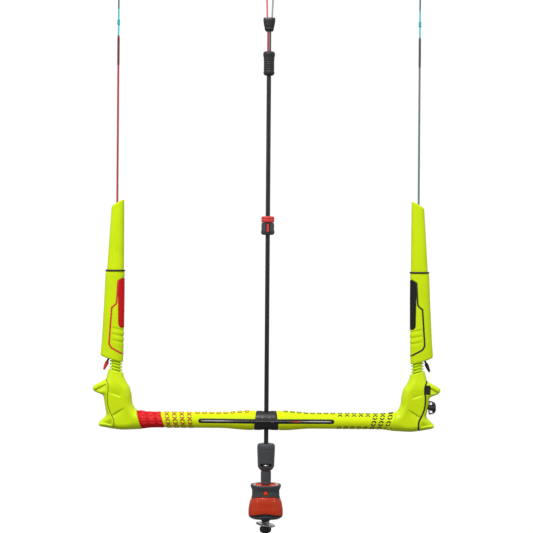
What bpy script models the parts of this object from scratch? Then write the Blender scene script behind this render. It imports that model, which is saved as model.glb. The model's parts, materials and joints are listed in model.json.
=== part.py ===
"""Kite control bar: a bar that slides and tilts on the centre line, with a trim winder in its
right end, foam floats on flexible necks, and a push-away quick release under a swivel.

Lengths are millimetres from the bar's axis and are placed in metres. X runs along the bar to
the right, Z up to the kite. The origin is at the upper ends of the front lines, LINE_TOP above
the bar's axis, because the whole bar hangs from its lines.
"""

import math

import bmesh
import bpy
from mathutils import Matrix, Vector

MM = 0.001
GAP = 0.3  # between neighbouring pieces

# Lines
LINE_TOP = 745.0
LINE_X = 248.6  # the steering lines' distance from the centre line
LEADER_D = 3.4
SLEEVE_D = 4.0
FLYING_D = 2.6
FRONT_D = 2.8
CENTRE_LINE_D = 3.4
KNOT_SWELL = 1.9  # a knot's radius over its line's
LEADER_TOP = 583.0
SLEEVE_TOP = 633.0
JOINING_KNOT_Z = 655.0
SPLITTER = (641.7, 664.1)  # lower and upper faces

# Centre line
TUBE_R = 3.7
TUBE_BORE_R = 2.4
TUBE_Z = (-52.0, 588.0)
SLIDE_R = TUBE_R + GAP  # the bore of what slides on the tube
COLLAR_Z = (569.3, 608.0)
STOPPER_Z = 306.0
STOPPER_RING_Z = (326.5, 336.6)

# Bar
BAR_R = 13.0
HUB_R = 15.95  # the bar's thick middle
CORE_R = 11.5
CORE_BORE_R = 9.5
CORE_HALF = 221.0
INSERT_HALF = 18.6
BAND_INNER = 170.7
BAND_OUTER = 209.0
END_SLANT = 0.3  # the grips' ends lean by this much of the height
BAND_SLANT = 0.27
INSERT_SLANT = -0.13
WINDOW_HALF = 111.3
WINDOW_HALF_HEIGHT = 3.5
SLOT_HALF = 107.5
SLOT_HALF_HEIGHT = 1.9
MARKER_X = 47.7
MARKER_HALF = 7.5
TRIM_LINE_R = 1.0
TRIM_LINE_Y = -8.0

# Bar ends
END_DEPTH = 15.0  # half of a housing's thickness
CAP_DEPTH = 12.0
NECK_X = 248.5
NECK_SLANT = 0.28
NECK_PIVOT_Z = 89.0
KNOB_Z = 22.9
KNOB_X = (267.9, 279.2)
DRUM_R = 7.0
DRUM_X = 236.0  # where the trim line leaves the drum
PULLEY_R = 4.0

# Swivel and quick release
COVER_Z = (-82.0, -38.0)
STEM_R = 8.5
RELEASE_TOP = -105.2
RELEASE_LOW = -157.7
RELEASE_DEPTH = 0.86  # the quick release's depth over its width
RELEASE_R = 21.2  # the handle's half width inside its soft grip
RELEASE_CORE_R = 12.6
RELEASE_BORE_R = 16.4  # round the core's flange and the return spring
RELEASE_SHOULDER_R = 13.4  # the step that the return spring bears on
LATCH_PIVOT = (0.0, 9.0, -141.0)
RING_Z = -171.5
RING_TILT = math.radians(9.0)
SOCKET_Z = (-184.5, -175.2)
LOOP_R = 4.8

for old in list(bpy.data.objects):
    bpy.data.objects.remove(old, do_unlink=True)


# ---------------------------------------------------------------- materials and pivots


def material(name, colour, roughness, metallic=0.0):
    mat = bpy.data.materials.new(name)
    mat.use_nodes = True
    shader = mat.node_tree.nodes["Principled BSDF"]
    shader.inputs["Base Color"].default_value = (*colour, 1.0)
    shader.inputs["Roughness"].default_value = roughness
    shader.inputs["Metallic"].default_value = metallic
    mat.diffuse_color = (*colour, 1.0)
    return mat


NEON = material("neon_foam", (0.66, 0.87, 0.01), 0.6)
NEON_SHELL = material("neon_shell", (0.66, 0.87, 0.01), 0.4)
RED = material("red_foam", (0.78, 0.01, 0.02), 0.55)
BLACK = material("black_plastic", (0.02, 0.02, 0.022), 0.5)
RUBBER = material("black_rubber", (0.016, 0.016, 0.017), 0.7)
SLATE = material("slate_rubber", (0.05, 0.07, 0.08), 0.65)
GREY = material("grey_plastic", (0.06, 0.06, 0.07), 0.55)
ORANGE = material("orange_gloss", (0.6, 0.03, 0.0), 0.2)
STEEL = material("steel", (0.45, 0.45, 0.46), 0.3, 1.0)
ALUMINIUM = material("dark_aluminium", (0.08, 0.08, 0.085), 0.4, 1.0)
RED_LINE = material("red_line", (0.48, 0.03, 0.04), 0.85)
GREY_LINE = material("grey_line", (0.16, 0.2, 0.22), 0.85)
TEAL_LINE = material("teal_line", (0.02, 0.42, 0.5), 0.85)

pivots = {}


def world(x, y, z):
    """A point in metres, from millimetres off the middle of the bar."""
    return Vector((x, y, z - LINE_TOP)) * MM


def pivot(name, place, parent=None):
    """An empty on a joint's axis, which the joint's moving pieces are parented to."""
    empty = bpy.data.objects.new(name, None)
    bpy.context.collection.objects.link(empty)
    empty.location = world(*place)
    if parent:
        empty.parent = pivots[parent][0]
        empty.location -= pivots[parent][1]
    pivots[name] = (empty, world(*place))


pivot("bar_slide_axis", (0, 0, 0))
pivot("bar_tilt_axis", (0, 0, 0), "bar_slide_axis")
pivot("stopper_axis", (0, 0, STOPPER_Z))
pivot("stopper_button_axis", (0, -8, 317), "stopper_axis")
pivot("swivel_axis", (0, 0, -70))
pivot("release_axis", (0, 0, RELEASE_LOW), "swivel_axis")
pivot("latch_axis", LATCH_PIVOT, "swivel_axis")
pivot("leash_ring_axis", (0, 0, RING_Z), "swivel_axis")
pivot("trim_knob_axis", (DRUM_X, 0, KNOB_Z), "bar_tilt_axis")
pivot("trim_marker_axis", (MARKER_X, TRIM_LINE_Y, 0), "bar_tilt_axis")
pivot("trim_button_axis", (267.2, -10, 51.8), "bar_tilt_axis")
PULLEY_X = DRUM_X - PULLEY_R - TRIM_LINE_R
PULLEY_Z = PULLEY_R + TRIM_LINE_R
pivot("trim_pulley_axis", (PULLEY_X, TRIM_LINE_Y, PULLEY_Z), "bar_tilt_axis")
RETAINER_TOP = (260.9, 0.0, 100.3)
for sign, side in ((-1, "left"), (1, "right")):
    pivot(f"{side}_float_axis", (sign * NECK_X, 0, NECK_PIVOT_Z), "bar_tilt_axis")
    top_x, top_y, top_z = RETAINER_TOP
    pivot(f"{side}_retainer_axis", (sign * top_x, top_y, top_z), f"{side}_float_axis")


# ---------------------------------------------------------------- building blocks


def place(piece, mat, axis=None):
    """Gives a piece its finish, and hangs it on its joint's empty."""
    bpy.context.collection.objects.link(piece)
    piece.data.materials.append(mat)
    if axis:
        piece.parent = pivots[axis][0]
        piece.location = (0, 0, 0)
    return piece


def solid(name, bm, mat, axis=None, smooth=True):
    """Turns a bmesh in millimetres off the bar's middle into an object on its axis."""
    bmesh.ops.recalc_face_normals(bm, faces=bm.faces)
    start = pivots[axis][1] if axis else world(0, 0, 0)
    bm.transform(Matrix.Translation(world(0, 0, 0) - start) @ Matrix.Scale(MM, 4))
    mesh = bpy.data.meshes.new(name)
    bm.to_mesh(mesh)
    bm.free()
    if smooth:
        mesh.shade_smooth()
        mesh.set_sharp_from_angle(angle=math.radians(35))
    piece = place(bpy.data.objects.new(name, mesh), mat, axis)
    if not axis:
        piece.location = start
    return piece


def turned_mesh(profile, sides, closed):
    """A bmesh turned about Z from (radius, height) points."""
    bm = bmesh.new()
    verts = [bm.verts.new((r, 0, z)) for r, z in profile]
    pairs = list(zip(verts, verts[1:]))
    if closed:
        pairs.append((verts[-1], verts[0]))
    edges = [bm.edges.new(pair) for pair in pairs]
    bmesh.ops.spin(
        bm, geom=verts + edges, cent=(0, 0, 0), axis=(0, 0, 1),
        angle=math.tau, steps=sides, use_merge=True,
    )
    bmesh.ops.remove_doubles(bm, verts=bm.verts, dist=1e-4)
    return bm


def turned(name, profile, mat, axis=None, sides=20, closed=False, turn=None):
    """A turned piece; turn is the matrix that takes its own Z axis to where it lies."""
    bm = turned_mesh(profile, sides, closed)
    if turn:
        bm.transform(turn)
    return solid(name, bm, mat, axis)


def sleeve_profile(outer, bore):
    """A bored piece's closed profile: its outer (radius, height) points up, then its bore down."""
    return [*outer, (bore, outer[-1][1]), (bore, outer[0][1])]


def oval(half_x, half_y, sides, power=2.0):
    """Points of a superellipse, which is an ellipse at power 2 and squarer above it."""
    points = []
    for i in range(sides):
        a = math.tau * i / sides
        c, s = math.cos(a), math.sin(a)
        points.append((
            half_x * math.copysign(abs(c) ** (2 / power), c),
            half_y * math.copysign(abs(s) ** (2 / power), s),
        ))
    return points


def lofted_mesh(rings, closed=False):
    """A skin over rings of points, capped at both ends, or joined last to first if closed."""
    bm = bmesh.new()
    loops = [[bm.verts.new(p) for p in ring] for ring in rings]
    pairs = list(zip(loops, loops[1:]))
    if closed:
        pairs.append((loops[-1], loops[0]))
    else:
        bm.faces.new(loops[0])
        bm.faces.new(loops[-1])
    for low, high in pairs:
        n = len(low)
        for i in range(n):
            bm.faces.new((low[i], low[(i + 1) % n], high[(i + 1) % n], high[i]))
    return bm


def slab_mesh(outline, half_depth, steps=()):
    """An (x, z) outline as thick as 2 half_depth in Y, its two faces then raised in
    (inset, rise) steps, which round the edge."""
    bm = bmesh.new()
    base = bm.faces.new([bm.verts.new((x, -half_depth, z)) for x, z in outline])
    made = bmesh.ops.extrude_face_region(bm, geom=[base])
    moved = [v for v in made["geom"] if isinstance(v, bmesh.types.BMVert)]
    bmesh.ops.translate(bm, verts=moved, vec=(0, 2 * half_depth, 0))
    bmesh.ops.recalc_face_normals(bm, faces=bm.faces)
    bm.faces.ensure_lookup_table()
    ends = [f for f in bm.faces if len(f.verts) == len(outline)]
    for face in ends:
        for inset, rise in steps:
            bmesh.ops.inset_region(bm, faces=[face], thickness=inset, depth=rise)
    return bm


def box_mesh(low, high):
    bm = bmesh.new()
    size = [b - a for a, b in zip(low, high)]
    middle = [(a + b) / 2 for a, b in zip(low, high)]
    bmesh.ops.create_cube(
        bm, size=1, matrix=Matrix.Translation(middle) @ Matrix.Diagonal((*size, 1))
    )
    return bm


def rod_mesh(radius, start, end, sides=16):
    """A plain round rod from start to end."""
    run = Vector(end) - Vector(start)
    bm = bmesh.new()
    bmesh.ops.create_cone(
        bm, cap_ends=True, segments=sides, radius1=radius, radius2=radius, depth=run.length,
        matrix=Matrix.Translation((Vector(start) + Vector(end)) / 2)
        @ run.to_track_quat("Z", "Y").to_matrix().to_4x4(),
    )
    return bm


def cut(piece, bm, axis=None, operation="DIFFERENCE"):
    """Cuts a bmesh, in millimetres off the bar's middle, out of a piece."""
    tool = solid(f"cutter_{piece.name}_{len(piece.modifiers)}", bm, BLACK, axis, smooth=False)
    tool.hide_render = True
    tool.display_type = "WIRE"
    boolean = piece.modifiers.new(operation.lower(), "BOOLEAN")
    boolean.operation = operation
    boolean.solver = "EXACT"
    boolean.object = tool
    return tool


def rounded(piece, width, segments=2):
    bevel = piece.modifiers.new("bevel", "BEVEL")
    bevel.width = width * MM
    bevel.segments = segments
    bevel.limit_method = "ANGLE"
    bevel.angle_limit = math.radians(40)
    return piece


def even_points(points, spacing):
    """Points at even spacing along a smooth curve through the given ones."""
    route = [Vector(p) for p in points]
    route = [2 * route[0] - route[1], *route, 2 * route[-1] - route[-2]]
    fine = []
    for a, b, c, d in zip(route, route[1:], route[2:], route[3:]):
        for i in range(40):
            t = i / 40
            fine.append(0.5 * (
                2 * b + (c - a) * t + (2 * a - 5 * b + 4 * c - d) * t * t
                + (3 * b - a - 3 * c + d) * t ** 3
            ))
    fine.append(route[-2])
    lengths = [(q - p).length for p, q in zip(fine, fine[1:])]
    total = sum(lengths)
    count = max(2, round(total / spacing))
    out, walked, k = [fine[0]], 0.0, 0
    for i in range(1, count):
        goal = total * i / count
        while walked + lengths[k] < goal:
            walked += lengths[k]
            k += 1
        out.append(fine[k].lerp(fine[k + 1], (goal - walked) / lengths[k]))
    return [*out, fine[-1]]


def cord(name, points, diameter, mat, axis=None, swells=(), resolution=2, spacing=3.0):
    """A cord along a smooth route; swells are (height, length) stretches that a knot thickens."""
    start = pivots[axis][1] if axis else world(0, 0, 0)
    path = even_points(points, spacing * diameter)
    for height, length in swells:
        path += [Vector((*path[-1].xy, height + k * length / 2)) for k in (-1, -0.5, 0, 0.5, 1)]
    if swells:
        path.sort(key=lambda p: p.z)
        apart = [path[0]]
        for p in path[1:]:
            if p.z - apart[-1].z > 0.4:
                apart.append(p)
        path = apart
    curve = bpy.data.curves.new(name, "CURVE")
    curve.dimensions = "3D"
    curve.bevel_depth = diameter / 2 * MM
    curve.bevel_resolution = resolution
    curve.use_fill_caps = True
    spline = curve.splines.new("POLY")
    spline.points.add(len(path) - 1)
    for point, p in zip(spline.points, path):
        point.co = (*(world(*p) - start), 1)
        inside = [1 - abs(p.z - h) / (n / 2) for h, n in swells if abs(p.z - h) < n / 2]
        point.radius = 1 + (KNOT_SWELL - 1) * math.sqrt(max(inside)) if inside else 1
    piece = place(bpy.data.objects.new(name, curve), mat, axis)
    if not axis:
        piece.location = start
    return piece


def spring(name, middle, direction, wire, coil_r, length, turns, mat, axis):
    """A coil spring as one swept wire, along direction from middle."""
    steps, sides = 9, 5  # round a turn, and round the wire
    turn = Vector(direction).to_track_quat("Z", "Y").to_matrix()
    rings = []
    for i in range(turns * steps + 1):
        a = math.tau * i / steps
        height = length * (i / (turns * steps) - 0.5)
        out = Vector((math.cos(a), math.sin(a), 0))
        hub = out * coil_r + Vector((0, 0, height))
        ring = [hub + wire / 2 * (out * math.cos(b) + Vector((0, 0, math.sin(b))))
                for b in (math.tau * k / sides for k in range(sides))]
        rings.append([Vector(middle) + turn @ p for p in ring])
    return solid(name, lofted_mesh(rings), mat, axis)


# ---------------------------------------------------------------- lines and centre line


def front_lines():
    """Two lines that spread upwards from the splitter, each ending in a knot."""
    low = SPLITTER[1] + GAP
    knot = (LINE_TOP - 4.0, 8.0)
    for name, foot_x, head_x, mat in (
        ("front_line_red", -3.3, -5.4, RED_LINE),
        ("front_line_grey", 4.6, 7.6, GREY_LINE),
    ):
        route = [(foot_x, 0, low), ((foot_x + head_x) / 2, 0, (low + LINE_TOP) / 2),
                 (head_x, 0, LINE_TOP)]
        cord(name, route, FRONT_D, mat, swells=[knot])


def line_splitter():
    low, high = SPLITTER
    rings = []
    for z, half_x, half_y in ((low, 6.3, 4.2), (low + 2, 7.3, 5.2), (high - 2, 10.6, 5.8),
                              (high, 9.6, 4.8)):
        rings.append([(x, y, z) for x, y in oval(half_x, half_y, 16, 3.0)])
    solid("line_splitter", lofted_mesh(rings), BLACK)


def centre_line():
    for name, x, mat in (("power_line", -1.75, RED_LINE), ("safety_line", 1.75, GREY_LINE)):
        route = [(x, 0, TUBE_Z[1] + GAP), (x, 0, 615), (x, 0, SPLITTER[0] - GAP)]
        cord(name, route, CENTRE_LINE_D, mat)
    low, high = COLLAR_Z
    outer = [(7.6, low), (9.3, low + 3), (8.6, low + 8), (9.0, high - 10), (9.9, high - 5),
             (8.6, high)]
    turned("upper_collar", sleeve_profile(outer, SLIDE_R), RUBBER, closed=True, sides=16)
    outer = [(TUBE_R, TUBE_Z[0]), (TUBE_R, TUBE_Z[1])]
    turned("depower_tube", sleeve_profile(outer, TUBE_BORE_R), BLACK, closed=True, sides=16)


def stopper():
    low = STOPPER_Z
    outer = [(9.6, low), (11.5, low + 1.2), (11.7, low + 4), (10.6, low + 14),
             (10.2, low + 20)]
    body = turned("stopper_body", sleeve_profile(outer, SLIDE_R), SLATE, "stopper_axis",
                  closed=True)
    cut(body, box_mesh((-2.7, -14, low + 4), (2.7, -SLIDE_R - GAP, low + 18)), "stopper_axis")
    low, high = STOPPER_RING_Z
    outer = [(10.4, low), (11.3, low + 1), (11.3, high - 2.4), (9.4, high)]
    turned("stopper_ring", sleeve_profile(outer, SLIDE_R), RED, "stopper_axis", closed=True)
    button = box_mesh((-2.4, -11.9, STOPPER_Z + 4.3), (2.4, -6.4, STOPPER_Z + 17.7))
    rounded(solid("stopper_button", button, RED, "stopper_button_axis"), 0.6)


def steering_lines(sign, side, leader, sleeve):
    """A leader out of the float, its sewn sleeve, and the flying line tied to it."""
    axis = f"{side}_float_axis"
    x = sign * LINE_X
    route = [(x, 0, 345), (x, 0, 460), (x, 0, LEADER_TOP)]
    cord(f"{side}_leader_line", route, LEADER_D, leader, axis)
    route = [(x, 0, LEADER_TOP + GAP), (x, 0, 608), (x, 0, SLEEVE_TOP)]
    cord(f"{side}_leader_sleeve", route, SLEEVE_D, sleeve, axis)
    route = [(x, 0, SLEEVE_TOP + GAP), (x, 0, 690), (x, 0, LINE_TOP)]
    knots = [(JOINING_KNOT_Z, 8.0), (LINE_TOP - 4.0, 8.0)]
    cord(f"{side}_flying_line", route, FLYING_D, TEAL_LINE, axis, swells=knots)


# ---------------------------------------------------------------- floats


# height, inner edge, outer edge, half depth
FLOAT_SECTIONS = (
    (340.0, 236.2, 258.4, 9.8),
    (300.0, 235.6, 261.0, 11.0),
    (250.0, 235.2, 264.6, 12.0),
    (243.0, 235.0, 266.4, 12.5),
    (200.0, 235.2, 268.3, 13.0),
    (131.0, 235.4, 272.1, 13.5),
    (109.0, 236.0, 273.9, 13.5),
)
FLOAT_TOP = (358.0, 236.8, 257.2, 9.2)
FLOAT_TOP_SLANT = -0.588
FLOAT_LOW = (99.3, 237.0, 273.0, 12.0)
FLOAT_LOW_SLANT = 0.315
RING_HEIGHT = 245.5


def float_ring(sign, section, slant=0.0, grow=0.0):
    z, inner, outer, half_depth = section
    middle = (inner + outer) / 2
    half = (outer - inner) / 2
    return [(sign * (middle + x), y, z + slant * x)
            for x, y in oval(half + grow, half_depth + grow, 20, 2.6)]


def float_mesh(sign):
    rings = [float_ring(sign, FLOAT_TOP, FLOAT_TOP_SLANT)]
    rings += [float_ring(sign, s) for s in FLOAT_SECTIONS]
    rings.append(float_ring(sign, FLOAT_LOW, FLOAT_LOW_SLANT))
    return lofted_mesh(rings)


def insert_outline(sign, grow):
    """The inlay in the float's inner edge."""
    points = ((230, 237), (237.5, 236.5), (246.5, 231.5), (245.5, 158), (237.5, 151.5), (230, 151))
    low, high = 151, 237
    return [(sign * (x + (grow if x > 240 else 0)), z + grow * (2 * (z - low) / (high - low) - 1))
            for x, z in points]


def floats(sign, side, inlay):
    axis = f"{side}_float_axis"
    foam = solid(f"{side}_float", float_mesh(sign), NEON, axis)
    x = sign * LINE_X
    cut(foam, rod_mesh(LEADER_D / 2 + GAP, (x, 0, 340), (x, 0, 380), 12), axis)
    cut(foam, slab_mesh(insert_outline(sign, GAP), 20), axis)
    insert = solid(f"{side}_float_insert", float_mesh(sign), inlay, axis)
    cut(insert, slab_mesh(insert_outline(sign, 0), 20), axis, "INTERSECT")

    ring_r = 1.2
    level = (RING_HEIGHT, 235.1, 265.8, 12.3)
    path = float_ring(sign, level, grow=ring_r + 0.25)
    middle = sum((Vector(p) for p in path), Vector()) / len(path)
    rings = []
    for p in path:
        out = (Vector(p) - middle).normalized()
        rings.append([Vector(p) + ring_r * (out * math.cos(a) + Vector((0, 0, math.sin(a))))
                      for a in (math.tau * k / 6 for k in range(6))])
    solid(f"{side}_float_o_ring", lofted_mesh(rings, closed=True), RUBBER, axis)


def necks(sign, side):
    """A flexible ribbed neck between the housing's slanted top and the float."""
    low, high = 80.9, 96.6
    core_r, rib_r = 7.0, 10.6
    profile = [(0, low), (core_r, low)]
    for z in (83.9, 88.9, 93.9):
        profile += [(core_r, z - 1.2), (rib_r, z - 0.5), (rib_r, z + 0.5), (core_r, z + 1.2)]
    profile += [(core_r, high), (0, high)]
    bm = turned_mesh(profile, 12, False)
    for v in bm.verts:
        v.co.z += NECK_SLANT * v.co.x
        v.co.x = sign * (v.co.x + NECK_X)
    solid(f"{side}_float_neck", bm, NEON_SHELL, "bar_tilt_axis")


def retainer(sign, side, mat):
    """The elastic that holds wound lines: a short cord with a tapered pull tab."""
    profile = [(0, -20.2), (1.2, -20), (1.7, -18), (2.9, -9), (2.6, -5.5), (1.4, -4.2),
               (1.2, 0), (0, 0)]
    lean = math.atan2(6.3, 18.9)
    turn = Matrix.Translation(
        (sign * RETAINER_TOP[0], RETAINER_TOP[1], RETAINER_TOP[2])
    ) @ Matrix.Rotation(-sign * lean, 4, "Y")
    turned(f"{side}_line_retainer", profile, mat, f"{side}_retainer_axis", sides=10, turn=turn)


# ---------------------------------------------------------------- bar


def bar_radius(x):
    """The bar's radius along it: thick in the middle, slim grips, flared ends."""
    x = abs(x)
    if x < 78:
        t = min(max((x - 26) / 50, 0), 1)
        return HUB_R + (BAR_R - HUB_R) * t * t * (3 - 2 * t)
    t = min(max((x - 184) / 28, 0), 1)
    return BAR_R + 2.9 * t * t


def grip_mesh(start, end, start_slant, end_slant, bore, grow=0.0, sides=16):
    """A shell round the bar's core between two slanted ends."""
    count = max(3, round(abs(end - start) / 18))
    outer, inner = [], []
    for i in range(count + 1):
        share = i / count
        x = start + (end - start) * share
        slant = start_slant + (end_slant - start_slant) * share
        for ring, radius in ((outer, bar_radius(x) + grow), (inner, bore)):
            ring.append([(x + slant * z, y, z) for y, z in oval(radius, radius, sides)])
    return lofted_mesh(outer + inner[::-1], closed=True)


def hole_mesh(grow=0.0):
    """The bar's hole for the centre line, wider along the bar at both mouths so that it tilts."""
    rings = []
    for z, half_x in ((-20, 12.4), (-6, 8.2), (6, 8.2), (20, 12.4)):
        rings.append([(x, y, z) for x, y in oval(half_x + grow, 7.0 + grow, 16)])
    return lofted_mesh(rings)


def window_mesh(half, half_height, back, grow):
    """A long rounded bar along the front of the bar, from back to its surface."""
    corner = half_height
    stations = [-half]
    stations += [-half + corner * (1 - math.cos(math.pi / 2 * k / 3)) for k in (1, 2, 3)]
    stations += [-78, -64, -51, -38, -26]
    stations += [-x for x in stations[::-1]]
    rings = []
    for x in stations:
        into = min(half - abs(x), corner)
        high = max(math.sqrt(corner ** 2 - (corner - into) ** 2), 0.4)
        front = -(bar_radius(x) + grow)
        rings.append([(x, back, -high), (x, front, -high), (x, front, high), (x, back, high)])
    return lofted_mesh(rings)


def bar():
    axis = "bar_tilt_axis"
    profile = sleeve_profile([(CORE_R, -CORE_HALF), (CORE_R, CORE_HALF)], CORE_BORE_R)
    core = turned("bar_core", profile, ALUMINIUM, axis, closed=True,
                  turn=Matrix.Rotation(math.pi / 2, 4, "Y"))
    cut(core, hole_mesh(), axis)
    slot = box_mesh((-SLOT_HALF - 2, -14, -2.3), (SLOT_HALF + 2, -CORE_BORE_R + 4, 2.3))
    cut(core, slot, axis)

    bore = CORE_R + GAP
    edge = INSERT_HALF + GAP / 2
    insert = solid("centre_insert", grip_mesh(-INSERT_HALF, INSERT_HALF, -INSERT_SLANT,
                                              INSERT_SLANT, bore), BLACK, axis)
    cut(insert, hole_mesh(0.2), axis)
    shells = [
        insert,
        solid("left_grip", grip_mesh(-BAND_INNER + GAP / 2, -edge - GAP / 2, -BAND_SLANT,
                                     -INSERT_SLANT, bore), NEON, axis),
        solid("right_grip", grip_mesh(edge + GAP / 2, BAND_OUTER, INSERT_SLANT, END_SLANT,
                                      bore), NEON, axis),
    ]
    for shell in shells:
        cut(shell, window_mesh(WINDOW_HALF + GAP, WINDOW_HALF_HEIGHT + GAP, -8, 3), axis)
    solid("left_band", grip_mesh(-BAND_OUTER, -BAND_INNER - GAP / 2, -END_SLANT,
                                 -BAND_SLANT, bore), RED, axis)

    frame = solid("window_frame", window_mesh(WINDOW_HALF, WINDOW_HALF_HEIGHT,
                                              -CORE_R - GAP, 0.35), BLACK, axis)
    ends = [(x * (SLOT_HALF - SLOT_HALF_HEIGHT) + SLOT_HALF_HEIGHT * math.cos(a),
             SLOT_HALF_HEIGHT * math.sin(a))
            for x, start in ((1, -90), (-1, 90))
            for a in (math.radians(start + 30 * k) for k in range(7))]
    opening = slab_mesh(ends, 6)
    opening.transform(Matrix.Translation((0, -14, 0)))
    cut(frame, opening, axis)

    bulge = [(SLIDE_R + 1.6, -6.5), (6.5, -4), (6.8, 0), (6.5, 4), (SLIDE_R + 1.6, 6.5)]
    turned("guide_ring", sleeve_profile(bulge, SLIDE_R), STEEL, "bar_slide_axis", closed=True)


# ---------------------------------------------------------------- bar ends


# The right end's outlines, (x, z): the seam down, the inner side up, and the horned cap.
SEAM = ((265.6, 62.4), (262.8, 57.5), (262.8, 46.4), (263.5, 38.5), (262.4, 26.5),
        (260.4, 14.4), (256.9, 6.5), (252.5, -0.6), (252.0, -8.5), (252.2, -15.6))
INNER_SIDE = ((237.0, -17.2), (202.0, -15.4), (202.0, 15.6), (215.0, 16.2), (221.2, 27.0),
              (222.6, 42.0), (225.6, 53.5), (231.3, 62.0), (236.1, 72.0), (237.8, 77.6),
              (260.2, 83.8), (262.2, 76.0), (264.2, 67.6))
HORNS = ((268.0, 65.0), (286.0, 55.5), (287.0, 50.5), (283.5, 45.4), (269.4, 40.4),
         (268.0, 34.0), (266.0, 20.5), (263.4, 7.5), (276.2, -4.4), (276.6, -9.0),
         (274.4, -11.4))
SIDE_GAP = 0.6
GASKET = 1.3


def seam_line(sign, shift):
    return [(sign * (x + shift), z) for x, z in SEAM]


def housings(sign, side, seam_width):
    axis = "bar_tilt_axis"
    outline = seam_line(sign, -seam_width / 2) + [(sign * x, z) for x, z in INNER_SIDE]
    steps = ((1.2, 1.2), (2.0, 1.0), (2.6, 0.8))
    rise = sum(s[1] for s in steps)
    housing = solid(f"{side}_housing", slab_mesh(outline, END_DEPTH - rise, steps),
                    NEON_SHELL, axis)
    core_hole = rod_mesh(CORE_R + GAP, (sign * 190, 0, 0), (sign * 223, 0, 0), 24)
    cut(housing, core_hole, axis)
    reach = 26.0  # past the housing above and below the slanted joint with the grip
    joint = BAND_OUTER + GAP
    corners = ((joint - END_SLANT * reach, -reach), (joint + END_SLANT * reach, reach),
               (190, reach), (190, -reach))
    cut(housing, slab_mesh([(sign * x, z) for x, z in corners], 22), axis)

    outline = seam_line(sign, seam_width / 2) + [(sign * x, z) for x, z in HORNS[::-1]]
    steps = ((0.7, 0.9), (0.6, 0.4))
    rise = sum(s[1] for s in steps)
    cap = solid(f"{side}_horn_cap", slab_mesh(outline, CAP_DEPTH - rise, steps), NEON_SHELL, axis)
    return housing, cap


def gasket():
    """The black seal between the right housing and its cap."""
    outline = seam_line(1, -GASKET / 2) + seam_line(1, GASKET / 2)[::-1]
    solid("right_gasket", slab_mesh(outline, CAP_DEPTH + 0.8), RUBBER, "bar_tilt_axis")


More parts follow.
